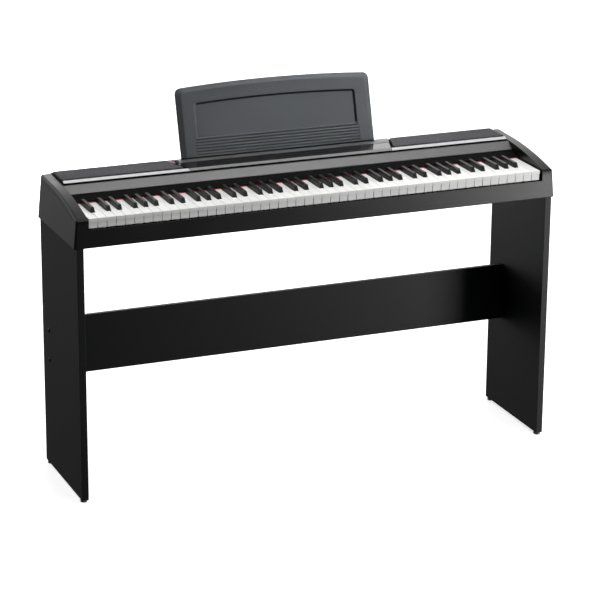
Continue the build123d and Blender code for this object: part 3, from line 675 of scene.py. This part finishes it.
@dataclass(frozen=True)
class KeyPlastic(Finish):
    """Smooth key plastic, with a faint drawn grain along the key and finger wear on its top."""

    colour: Colour
    worn: Colour
    roughness: float
    top: float
    wear: float = 0.25
    specular: float = 0.5
    grain: float = 0.0009
    patch: float = 0.018
    touch_depth: float = 0.004

    def shade(self, graph: Graph) -> Socket:
        """Fine grain along the key, and wear only at the height that fingers touch.

        Args:
            graph: The material's nodes.

        Returns:
            The shader's socket.
        """
        point = graph.place()
        grain = graph.noise(graph.stretch(point, Run.DEEP.value), self.grain, detail=3.0)
        patches = graph.noise(point, self.patch, detail=3.0)
        touched = graph.axes(point)[2].rise(self.top - self.touch_depth, self.top) * patches
        return graph.surface(
            {
                "Base Color": graph.blend(touched * self.wear, self.colour, self.worn),
                "Roughness": self.roughness - 0.05 + grain * 0.08 + touched * 0.05,
                "Specular IOR Level": self.specular,
                "Normal": graph.bump(grain, depth=0.00002, strength=0.35),
            }
        )


@dataclass(frozen=True)
class FeltCloth(Finish):
    """Pressed felt: matted fibres with no shine."""

    colour: Colour
    fibre: float = 0.0006
    lie: Point = (0.3, 1.0, 1.0)

    def shade(self, graph: Graph) -> Socket:
        """Fibres in colour and bump.

        Args:
            graph: The material's nodes.

        Returns:
            The shader's socket.
        """
        point = graph.place()
        fibres = graph.noise(graph.stretch(point, self.lie), self.fibre, detail=5.0)
        dark = scaled(self.colour, 0.6)
        light = lifted(scaled(self.colour, 1.35), 0.02)
        return graph.surface(
            {
                "Base Color": graph.blend(fibres, dark, light),
                "Roughness": 0.95,
                "Specular IOR Level": 0.15,
                "Sheen Weight": 0.3,
                "Normal": graph.bump(fibres, depth=0.0004, strength=0.8),
            }
        )


@dataclass(frozen=True)
class CircuitLayer(Finish):
    """Green solder mask over a grid of tracks with tinned pads."""

    mask: Colour
    track: Colour
    pad: Colour
    pitch: float = 0.004

    def shade(self, graph: Graph) -> Socket:
        """Tracks as thin stripes, pads as round spots.

        Args:
            graph: The material's nodes.

        Returns:
            The shader's socket.
        """
        point = graph.place()
        across, deep, _ = graph.axes(point)
        bend = graph.noise(point, size=0.03, detail=1.0) * 14.0
        stripes = (deep * (math.tau / self.pitch) + bend).sine().rise(0.5, 0.8)
        crossing = (across * (math.tau / (3.0 * self.pitch)) + bend).sine().rise(0.8, 0.95)
        pads = graph.specks(point, self.pitch * 1.5).fall(0.16, 0.2)
        copper = graph.blend(stripes.greater(crossing), self.mask, self.track)
        return graph.surface(
            {
                "Base Color": graph.blend(pads, copper, self.pad),
                "Roughness": 0.42 - pads * 0.12,
                "Metallic": pads * 0.9,
                "Normal": graph.bump(stripes, depth=0.00005, strength=0.5),
            }
        )


@dataclass(frozen=True)
class PaleFloor(Finish):
    """A plain pale studio floor that glows a little, as a lit sweep does."""

    colour: Colour
    glow: float = 0.62

    def shade(self, graph: Graph) -> Socket:
        """A nearly even matt surface.

        Args:
            graph: The material's nodes.

        Returns:
            The shader's socket.
        """
        cloud = graph.noise(graph.place(), size=2.0, detail=2.0)
        return graph.surface(
            {
                "Base Color": graph.blend(cloud, self.colour, scaled(self.colour, 1.02)),
                "Roughness": 0.85,
                "Specular IOR Level": 0.1,
                "Emission Color": (1.0, 1.0, 1.0, 1.0),
                "Emission Strength": self.glow,
            }
        )


def dress(finish: Finish, *nodes: str) -> None:
    """Gives CAD nodes a finish.

    Args:
        finish: The finish.
        nodes: The nodes' names.
    """
    for name in nodes:
        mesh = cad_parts[name].data
        mesh.materials.clear()
        mesh.materials.append(finish.material())
        LOG.info("dressed %s in %s", name, finish.name)


def octave_nodes(kind: str, notes: Sequence[str]) -> list[str]:
    """The names of the middle octave's nodes of one kind."""
    return [f"{kind}_{note}4" for note in notes]


def corners(node: str) -> tuple[Point, Point]:
    """A node's lowest and highest corners as plain numbers."""
    low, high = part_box(node)
    return tuple(low), tuple(high)


def add_piece(name: str, mesh: Mesh, finish: Finish, body: str) -> bpy.types.Object:
    """Turns a bmesh into a piece that rides on a body.

    Args:
        name: The piece's name.
        mesh: The bmesh, in the object's frame, which is freed.
        finish: Its finish.
        body: The CAD body that carries it.

    Returns:
        The new object.
    """
    data = bpy.data.meshes.new(name)
    bmesh.ops.recalc_face_normals(mesh, faces=mesh.faces)
    mesh.to_mesh(data)
    mesh.free()
    data.materials.append(finish.material())
    data.set_sharp_from_angle(angle=math.radians(CREASE_ANGLE))
    piece = bpy.data.objects.new(name, data)
    bpy.context.scene.collection.objects.link(piece)
    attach(piece, body)
    LOG.info("built %s on %s", name, body)
    return piece


def added(mesh: Mesh, before: set[Vert]) -> list[Vert]:
    """The vertices that a bmesh has gained since it held those given."""
    return [vert for vert in mesh.verts if vert not in before]


def turned(mesh: Mesh, profile: Sequence[tuple[float, float]], steps: int) -> list[Vert]:
    """Turns a profile about Z into a round shape.

    Args:
        mesh: The bmesh to add to.
        profile: Radius and height of each point, from the axis round to the axis.
        steps: The number of sides.

    Returns:
        The new vertices.
    """
    before = set(mesh.verts)
    points = [mesh.verts.new((radius, 0.0, height)) for radius, height in profile]
    line = [mesh.edges.new(pair) for pair in zip(points, points[1:])]
    bmesh.ops.spin(
        mesh,
        geom=points + line,
        cent=(0.0, 0.0, 0.0),
        axis=(0.0, 0.0, 1.0),
        angle=math.tau,
        steps=steps,
        use_merge=True,
    )
    bmesh.ops.remove_doubles(mesh, verts=added(mesh, before), dist=MERGE_DISTANCE)
    return added(mesh, before)


def groove(mesh: Mesh, wall: Sequence[Vert], ribs: int, share: float) -> None:
    """Draws in every second column of a round wall, as grooves between ribs.

    Args:
        mesh: The bmesh that holds the wall.
        wall: The wall's vertices, with two columns to a rib.
        ribs: The number of ribs.
        share: The grooves' radius as a share of the ribs'.
    """
    step = math.pi / ribs
    drawn = [vert for vert in wall if round(math.atan2(vert.co.y, vert.co.x) / step) % 2]
    bmesh.ops.scale(mesh, vec=(share, share, 1.0), verts=drawn)


def hexagon_hole(mesh: Mesh, radius: float, top: float, depth: float, rim: float) -> None:
    """Adds a flat ring with a hexagon socket sunk into it, facing +Z.

    Args:
        mesh: The bmesh to add to.
        radius: The socket's radius at its corners.
        top: The ring's height.
        depth: The socket's depth.
        rim: The ring's outer radius.
    """
    disc = bmesh.ops.create_circle(mesh, cap_ends=True, segments=6, radius=rim)["verts"]
    bmesh.ops.translate(mesh, verts=disc, vec=(0.0, 0.0, top))
    face = disc[0].link_faces[0]
    bmesh.ops.inset_region(mesh, faces=[face], thickness=(rim - radius) * math.cos(math.pi / 6.0))
    sunk = bmesh.ops.extrude_face_region(mesh, geom=[face])["geom"]
    low = [item for item in sunk if isinstance(item, Vert)]
    bmesh.ops.translate(mesh, verts=low, vec=(0.0, 0.0, -depth))
    bmesh.ops.delete(mesh, geom=[face], context="FACES_ONLY")


@dataclass
class Stand:
    """The two leg boards, the crossboard and what holds them together."""

    board_colour: Colour = (0.0075, 0.0078, 0.0088)
    screw_colour: Colour = (0.05, 0.05, 0.052)
    bolt_colour: Colour = (0.035, 0.035, 0.036)
    bracket_colour: Colour = (0.018, 0.018, 0.019)
    glide_colour: Colour = (0.16, 0.16, 0.155)
    bolt_head_radius: float = 0.006
    bolt_head_height: float = 0.0025
    bolt_length: float = 0.040
    bolt_radius: float = 0.003
    bolt_tip: float = 0.001
    bolt_sides: int = 24
    socket_radius: float = 0.0024
    socket_depth: float = 0.0016
    socket_ring: float = 0.00324

    def build(self) -> None:
        """Makes the bolts and dresses the boards, brackets, screws and glides."""
        self._dress_boards()
        self._bolts()
        steel = BrushedFinish("zinc_black_steel", self.screw_colour, 0.42, Run.DEEP, metal=0.9)
        dress(steel, "bracket_screws", "case_screws")
        paint = MouldedPlastic("bracket_paint", self.bracket_colour, 0.42, grain=0.0008)
        dress(paint, "stand_brackets")
        glide = MouldedPlastic("glide_grey", self.glide_colour, 0.55, grain=0.0009)
        dress(glide, "leg_glides")

    def _dress_boards(self) -> None:
        """Gives each board its own laminate, with grain along its length."""
        runs = {
            "left_leg_board": Run.UP,
            "right_leg_board": Run.UP,
            "crossboard": Run.ACROSS,
            "crossboard_cleats": Run.UP,
        }
        for node, run in runs.items():
            low, high = corners(node)
            laminate = BoardLaminate("laminate_" + node, self.board_colour, 0.5, run, low, high)
            dress(laminate, node)

    def _bolts(self) -> None:
        """Builds the socket-head bolts through the legs in place of the plain solids."""
        low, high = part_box("crossboard_bolts")
        mesh = bmesh.new()
        inset = self.bolt_head_radius
        middle = (low.y + high.y) / 2.0
        for side, outer in ((1.0, high.x), (-1.0, low.x)):
            turn = Matrix.Rotation(side * math.pi / 2.0, 4, "Y")
            seat = outer - side * self.bolt_head_height
            for height in (low.z + inset, high.z - inset):
                self._bolt(mesh, Matrix.Translation((seat, middle, height)) @ turn)
        finish = BrushedFinish("bolt_black_oxide", self.bolt_colour, 0.36, Run.DEEP, metal=0.85)
        piece = add_piece("crossboard_socket_bolts", mesh, finish, ROOT)
        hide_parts("crossboard_bolts")

    def _bolt(self, mesh: Mesh, place: Matrix) -> None:
        """Adds one bolt.

        Args:
            mesh: The bmesh to add to.
            place: Where the head's underside goes, with +Z out of the leg.
        """
        before = set(mesh.verts)
        top = self.bolt_head_height
        head = self.bolt_head_radius
        shank = self.bolt_radius
        reach = top - self.bolt_length
        profile = [
            (self.socket_ring, top),
            (head * 0.78, top * 0.92),
            (head * 0.95, top * 0.6),
            (head, top * 0.25),
            (head, 0.0),
            (shank, 0.0),
            (shank, reach + self.bolt_tip),
            (shank * 0.7, reach),
            (0.0, reach),
        ]
        turned(mesh, profile, self.bolt_sides)
        hexagon_hole(mesh, self.socket_radius, top, self.socket_depth, self.socket_ring)
        bmesh.ops.transform(mesh, matrix=place, verts=added(mesh, before))


@dataclass
class Case:
    """The lower case, its two end cheeks and the rear jack panel."""

    body_colour: Colour = (0.006, 0.006, 0.0064)
    cheek_colour: Colour = (0.008, 0.008, 0.0084)
    panel_colour: Colour = (0.02, 0.02, 0.021)
    nut_colour: Colour = (0.55, 0.55, 0.54)
    nut_radius: float = 0.0058
    nut_height: float = 0.00048
    nut_gap: float = 0.0001
    nut_bevel: float = 0.0004
    nut_teeth: int = 24
    tooth_share: float = 0.955
    hole_radius: float = 0.0032
    inlet_radius: float = 0.0045
    jack_pitch: float = 0.030
    jack_count: int = 3
    jack_rise: float = 0.03475

    def build(self) -> None:
        """Dresses the mouldings and fits the jacks' nuts."""
        case = MouldedPlastic("case_moulding", self.body_colour, 0.34, specular=0.3)
        dress(case, "lower_case")
        cheek = MouldedPlastic(
            "cheek_moulding", self.cheek_colour, 0.3, grain=0.0009, specular=0.22
        )
        dress(cheek, "left_cheek", "right_cheek")
        panel = MouldedPlastic("jack_panel_moulding", self.panel_colour, 0.5, grain=0.0007)
        dress(panel, "jack_panel")
        self._nuts()

    def _nuts(self) -> None:
        """Builds a knurled nut round each jack and a ring round the inlet."""
        low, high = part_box("jack_panel")
        middle = (low.x + high.x) / 2.0
        first = middle - self.jack_pitch * self.jack_count / 2.0
        height = low.z + self.jack_rise
        rearward = Matrix.Rotation(-math.pi / 2.0, 4, "X")
        mesh = bmesh.new()
        for number in range(self.jack_count + 1):
            inlet = number == self.jack_count
            hole = self.inlet_radius if inlet else self.hole_radius
            before = set(mesh.verts)
            self._nut(mesh, hole, not inlet)
            place = Matrix.Translation((first + number * self.jack_pitch, high.y, height))
            bmesh.ops.transform(mesh, matrix=place @ rearward, verts=added(mesh, before))
        finish = BrushedFinish("nut_nickel", self.nut_colour, 0.3, Run.UP, metal=1.0)
        add_piece("jack_nuts", mesh, finish, ROOT)

    def _nut(self, mesh: Mesh, hole: float, knurled: bool) -> None:
        """Adds one nut, facing +Z.

        Args:
            mesh: The bmesh to add to.
            hole: The radius of its hole.
            knurled: Whether its rim has fine teeth.
        """
        rim = self.nut_radius + (hole - self.hole_radius)
        tall = self.nut_height
        inner = hole + self.nut_gap
        profile = [
            (inner, 0.0),
            (inner, tall * 0.9),
            (inner + self.nut_bevel, tall),
            (rim - self.nut_bevel, tall),
            (rim, tall * 0.7),
            (rim, 0.0),
            (inner, 0.0),
        ]
        made = turned(mesh, profile, self.nut_teeth * 2)
        if knurled:
            wall = [vert for vert in made if vert.co.xy.length > rim - self.nut_bevel / 2.0]
            groove(mesh, wall, self.nut_teeth, self.tooth_share)


@dataclass
class Deck:
    """The top deck with its grilles, strips, gloss panel, felt and nameboard."""

    face_colour: Colour = (0.074, 0.074, 0.075)
    # painted shade in the deck's gaps
    painted_gap_shade_colour: Colour = (0.004, 0.004, 0.0042)
    strip_colour: Colour = (0.78, 0.78, 0.79)
    panel_colour: Colour = (0.006, 0.006, 0.007)
    rim_colour: Colour = (0.008, 0.008, 0.009)
    cloth_dark: Colour = (0.011, 0.010, 0.012)
    cloth_light: Colour = (0.10, 0.095, 0.103)
    felt_colour: Colour = (0.42, 0.02, 0.035)
    nameboard_colour: Colour = (0.004, 0.004, 0.004)
    facet_depth: float = 0.0095
    facet_rise: float = 0.0043
    # how far in front of the centre panel the painted shade begins, over the fallboard's top edge
    painted_shade_reach: float = 0.0045
    pad_step: float = 0.002

    def build(self) -> None:
        """Dresses every deck node."""
        self._dress_deck()
        self._dress_metal()
        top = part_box("left_speaker_grille")[1].z
        cloth = SpeakerCloth(
            "grille_weave", self.rim_colour, self.cloth_dark, self.cloth_light, top
        )
        dress(cloth, "left_speaker_grille", "right_speaker_grille")
        dress(FeltCloth("felt_red", self.felt_colour), "red_felt_strip")
        flat = MouldedPlastic(
            "nameboard_flat", self.nameboard_colour, 0.7, grain=0.0008, specular=0.04
        )
        dress(flat, "nameboard")

    def _dress_deck(self) -> None:
        """Gives the deck its satin face, and its painted shade in black from a little in front of
        the centre panel.
        """
        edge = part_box("centre_panel")[0].y - self.painted_shade_reach
        pad_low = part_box("top_deck")[1].z - self.pad_step
        deck = DeckSatin("deck_satin", self.face_colour, self.painted_gap_shade_colour, edge, pad_low)
        dress(deck, "top_deck")

    def _dress_metal(self) -> None:
        """Gives the strips and the panel's front edge their metal, down to one lip; the strips
        carry painted shade in black below it.
        """
        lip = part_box("left_trim_strip")[1].z - self.facet_rise
        strip = LippedMetal(
            "strip_aluminium",
            self.strip_colour,
            roughness=0.3,
            run=Run.ACROSS,
            metal=1.0,
            contrast=0.08,
            lip=lip,
        )
        dress(strip, "left_trim_strip", "right_trim_strip")
        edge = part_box("centre_panel")[0].y + self.facet_depth
        panel = PolishedPanel(
            "panel_polish", self.panel_colour, bezel_edge=edge, bezel_low=lip
        )
        dress(panel, "centre_panel")


@dataclass
class Keyboard:
    """The white and black keys."""

    white: Colour = (0.9, 0.9, 0.885)
    white_worn: Colour = (0.80, 0.80, 0.775)
    black: Colour = (0.006, 0.006, 0.0064)
    black_worn: Colour = (0.014, 0.014, 0.015)

    def build(self) -> None:
        """Dresses every key."""
        ivory = KeyPlastic(
            "white_key_plastic",
            self.white,
            self.white_worn,
            roughness=0.3,
            top=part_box("bass_white_keys")[1].z,
            specular=0.25,
        )
        ebony = KeyPlastic(
            "black_key_plastic",
            self.black,
            self.black_worn,
            roughness=0.38,
            top=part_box("bass_black_keys")[1].z,
            wear=0.6,
            specular=0.3,
        )
        naturals = [note for note in OCTAVE if len(note) == 1]
        sharps = [note for note in OCTAVE if len(note) == 2]
        dress(ivory, "bass_white_keys", "treble_white_keys", *octave_nodes("key", naturals))
        dress(ebony, "bass_black_keys", "treble_black_keys", *octave_nodes("key", sharps))


@dataclass
class Action:
    """What works inside the case: hammers, rods, frame, boards and speakers."""

    hammer_colour: Colour = (0.34, 0.34, 0.35)
    rod_colour: Colour = (0.6, 0.6, 0.61)
    frame_colour: Colour = (0.1, 0.1, 0.1)
    mask_colour: Colour = (0.01, 0.07, 0.03)
    track_colour: Colour = (0.03, 0.14, 0.06)
    pad_colour: Colour = (0.6, 0.58, 0.5)
    cone_colour: Colour = (0.03, 0.03, 0.03)

    def build(self) -> None:
        """Dresses every inner node."""
        steel = BrushedFinish("hammer_brushed_steel", self.hammer_colour, 0.4, Run.DEEP, metal=1.0)
        dress(steel, "bass_hammers", "treble_hammers", *octave_nodes("hammer", OCTAVE))
        rod = BrushedFinish(
            "ground_rod", self.rod_colour, 0.24, Run.ACROSS, metal=1.0, contrast=0.08
        )
        dress(rod, "key_pivot_rod", "hammer_pivot_rod")
        dress(MouldedPlastic("frame_moulding", self.frame_colour, 0.5), "key_frame")
        board = CircuitLayer("circuit_green", self.mask_colour, self.track_colour, self.pad_colour)
        dress(board, "contact_board", "main_board")
        dress(FeltCloth("cone_paper", self.cone_colour), "speaker_drivers")


@dataclass
class MusicRest:
    """The slate music rest."""

    colour: Colour = (0.052, 0.0575, 0.0635)
    # height of the painted shade on the rest's foot
    painted_shade_foot_height: float = 0.005
    face_place: float = 0.11247
    lean: float = 16.0

    def build(self) -> None:
        """Dresses the rest, with painted shade in black on its foot just above the deck."""
        slate = RestPlastic(
            "rest_moulding",
            self.colour,
            roughness=0.5,
            grain=0.0012,
            depth=0.00006,
            specular=0.3,
            base_deep=self.face_place,
            base_up=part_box("top_deck")[1].z,
            lean=self.lean,
            painted_shade_foot_top=self.painted_shade_foot_height,
        )
        dress(slate, "music_rest")


@dataclass
class Controls:
    """The power button and the volume knob."""

    button_colour: Colour = (0.16, 0.018, 0.03)
    knob_colour: Colour = (0.016, 0.016, 0.017)
    knob_ribs: int = 36
    groove_share: float = 0.95
    knob_radius: float = 0.006
    knob_height: float = 0.004
    dish_depth: float = 0.0006
    dish_edge: float = 0.0005
    knob_bevel: float = 0.0009
    foot_bevel: float = 0.0004
    stem_radius: float = 0.003

    def build(self) -> None:
        """Builds a ribbed knob and dresses the button."""
        button = MouldedPlastic("button_red", self.button_colour, 0.3, grain=0.0006)
        dress(button, "power_button")
        self._knob()

    def _knob(self) -> None:
        """Builds the knob with fine ribs round it and a dished top."""
        low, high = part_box("volume_knob")
        mesh = bmesh.new()
        top = self.knob_height
        radius = self.knob_radius
        stem = high.z - low.z - top
        profile = [
            (0.0, top - self.dish_depth),
            (radius * 0.55, top - self.dish_edge),
            (radius * 0.72, top),
            (radius * 0.88, top),
            (radius, top - self.knob_bevel),
            (radius, self.foot_bevel),
            (radius * 0.95, 0.0),
            (self.stem_radius, 0.0),
            (self.stem_radius, -stem),
            (0.0, -stem),
        ]
        made = turned(mesh, profile, self.knob_ribs * 2)
        wall = [vert for vert in made if vert.co.xy.length > radius * 0.97]
        groove(mesh, wall, self.knob_ribs, self.groove_share)
        middle = (low + high) / 2.0
        place = Matrix.Translation((middle.x, middle.y, high.z - top))
        bmesh.ops.transform(mesh, matrix=place, verts=mesh.verts)
        finish = MouldedPlastic("knob_satin", self.knob_colour, 0.4, grain=0.0006)
        piece = add_piece("ribbed_volume_knob", mesh, finish, "volume_knob")
        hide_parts("volume_knob")


@dataclass(frozen=True)
class SoftBox:
    """One soft studio light."""

    name: str
    place: Point
    aim: Point
    width: float
    height: float
    power: float
    shine_only: bool = False
    spread: float = 180.0

    def build(self) -> None:
        """Adds the light, facing its aim, with its beam held to its spread in degrees."""
        data = bpy.data.lights.new(self.name, "AREA")
        data.shape = "RECTANGLE"
        data.size = self.width
        data.size_y = self.height
        data.energy = self.power
        data.spread = math.radians(self.spread)
        light = bpy.data.objects.new(self.name, data)
        light.visible_camera = False
        light.visible_diffuse = not self.shine_only
        away = Vector(self.aim) - Vector(self.place)
        facing = away.to_track_quat("-Z", "Y").to_matrix().to_4x4()
        light.matrix_world = Matrix.Translation(self.place) @ facing
        bpy.context.scene.collection.objects.link(light)


@dataclass(frozen=True)
class BroadLight:
    """A far, broad light that falls evenly on everything from one side."""

    name: str
    source: Point
    spread: float
    strength: float

    def build(self) -> None:
        """Adds the light, shining from its source's direction."""
        data = bpy.data.lights.new(self.name, "SUN")
        data.angle = math.radians(self.spread)
        data.energy = self.strength
        light = bpy.data.objects.new(self.name, data)
        light.matrix_world = Vector(self.source).to_track_quat("Z", "Y").to_matrix().to_4x4()
        bpy.context.scene.collection.objects.link(light)


@dataclass
class Studio:
    """Floor, lights and camera."""

    floor_reach: float = 30.0
    floor_colour: Colour = (0.94, 0.94, 0.94)
    camera_place: Point = (-2.3664, -5.7250, 2.4684)
    camera_yaw: float = 22.562
    camera_pitch: float = 18.415
    camera_roll: float = 0.434
    focal_pixels: float = 2502.7
    image_pixels: float = 600.0
    sensor: float = 36.0
    room: Colour = (0.05, 0.05, 0.054)
    backdrop: Colour = (1.05, 1.05, 1.05)
    backdrop_low: float = -0.345
    backdrop_full: float = 0.7
    ceiling: Colour = (0.6, 0.6, 0.6)
    ceiling_low: float = 0.4
    ceiling_full: float = 0.75
    lights: Sequence[SoftBox] = (
        SoftBox("front_right_box", (2.0, -2.1, 0.95), (0.3, 0.0, 0.75), 1.0, 0.8, power=31.0),
        SoftBox("upper_right_box", (0.5, -0.75, 2.6), (0.1, 0.0, 0.75), 1.2, 1.2, power=13.0),
        SoftBox(
            "gridded_right_box",
            (2.5, -0.55, 2.6),
            (0.2, 0.16, 0.97),
            width=0.4,
            height=0.4,
            power=1.15,
            spread=16.0,
        ),
        SoftBox("rear_right_box", (2.0, 2.7, 1.75), (0.2, 0.0, 0.78), 1.8, 1.5, power=7.0),
        SoftBox("rear_left_box", (0.1, 3.0, 1.62), (-0.45, 0.1, 0.78), 0.6, 0.9, power=3.0),
        SoftBox("low_rear_box", (0.25, 3.0, 0.5), (0.0, 0.15, 0.5), 1.6, 0.8, power=26.0),
        SoftBox(
            "low_right_card",
            (2.15, -2.2, -0.05),
            (0.55, -0.18, 0.4),
            width=0.9,
            height=1.25,
            power=46.0,
            shine_only=True,
        ),
    )
    key_light: BroadLight = BroadLight(
        "key_light", (0.22, -0.04, 0.97), spread=30.0, strength=0.8
    )

    def build(self) -> None:
        """Sets the stage."""
        bpy.context.scene.view_settings.view_transform = "Standard"
        self._floor()
        self._world()
        for light in (*self.lights, self.key_light):
            light.build()
        self._camera()

    def _floor(self) -> None:
        """A wide pale floor, which isn't part of the object."""
        mesh = bmesh.new()
        bmesh.ops.create_grid(mesh, x_segments=2, y_segments=2, size=self.floor_reach)
        data = bpy.data.meshes.new("floor")
        mesh.to_mesh(data)
        mesh.free()
        data.materials.append(PaleFloor("floor_pale", self.floor_colour).material())
        floor = bpy.data.objects.new("floor", data)
        bpy.context.scene.collection.objects.link(floor)
        floor.visible_diffuse = False
        floor.visible_glossy = False
        floor.visible_shadow = False

    def _world(self) -> None:
        """Soft surrounding light: a bright backdrop behind the piano in a dim room."""
        world = bpy.data.worlds.new("studio")
        world.use_nodes = True
        world.node_tree.nodes.clear()
        graph = Graph(world.node_tree)
        direction = graph.node("ShaderNodeTexCoord", {}, {}).outputs["Generated"]
        _, deep, up = graph.axes(direction)
        behind = deep.rise(0.0, self.backdrop_full) * up.rise(self.backdrop_low, 0.0)
        around = graph.blend(behind, self.room, self.backdrop)
        overhead = up.rise(self.ceiling_low, self.ceiling_full)
        colour = graph.blend(overhead, around, self.ceiling)
        light = graph.node("ShaderNodeBackground", {}, {"Color": colour, "Strength": 1.0})
        graph.node("ShaderNodeOutputWorld", {}, {"Surface": light.outputs[0]})
        bpy.context.scene.world = world

    def _camera(self) -> None:
        """The camera at the photograph's viewing angle."""
        yaw = math.radians(self.camera_yaw)
        pitch = math.radians(self.camera_pitch)
        data = bpy.data.cameras.new("camera")
        data.sensor_width = self.sensor
        data.lens = self.focal_pixels * self.sensor / self.image_pixels
        camera = bpy.data.objects.new("camera", data)
        level = Matrix.Rotation(-yaw, 4, "Z") @ Matrix.Rotation(math.pi / 2.0 - pitch, 4, "X")
        roll = Matrix.Rotation(math.radians(self.camera_roll), 4, "Z")
        camera.matrix_world = Matrix.Translation(self.camera_place) @ level @ roll
        bpy.context.scene.collection.objects.link(camera)
        bpy.context.scene.camera = camera


def main() -> None:
    """Builds the piano's looks and the studio around it."""
    logging.basicConfig(level=logging.INFO, format="%(message)s")
    for part in (Stand(), Case(), Deck(), Keyboard(), Action(), MusicRest(), Controls(), Studio()):
        part.build()


if __name__ == "__main__":
    main()
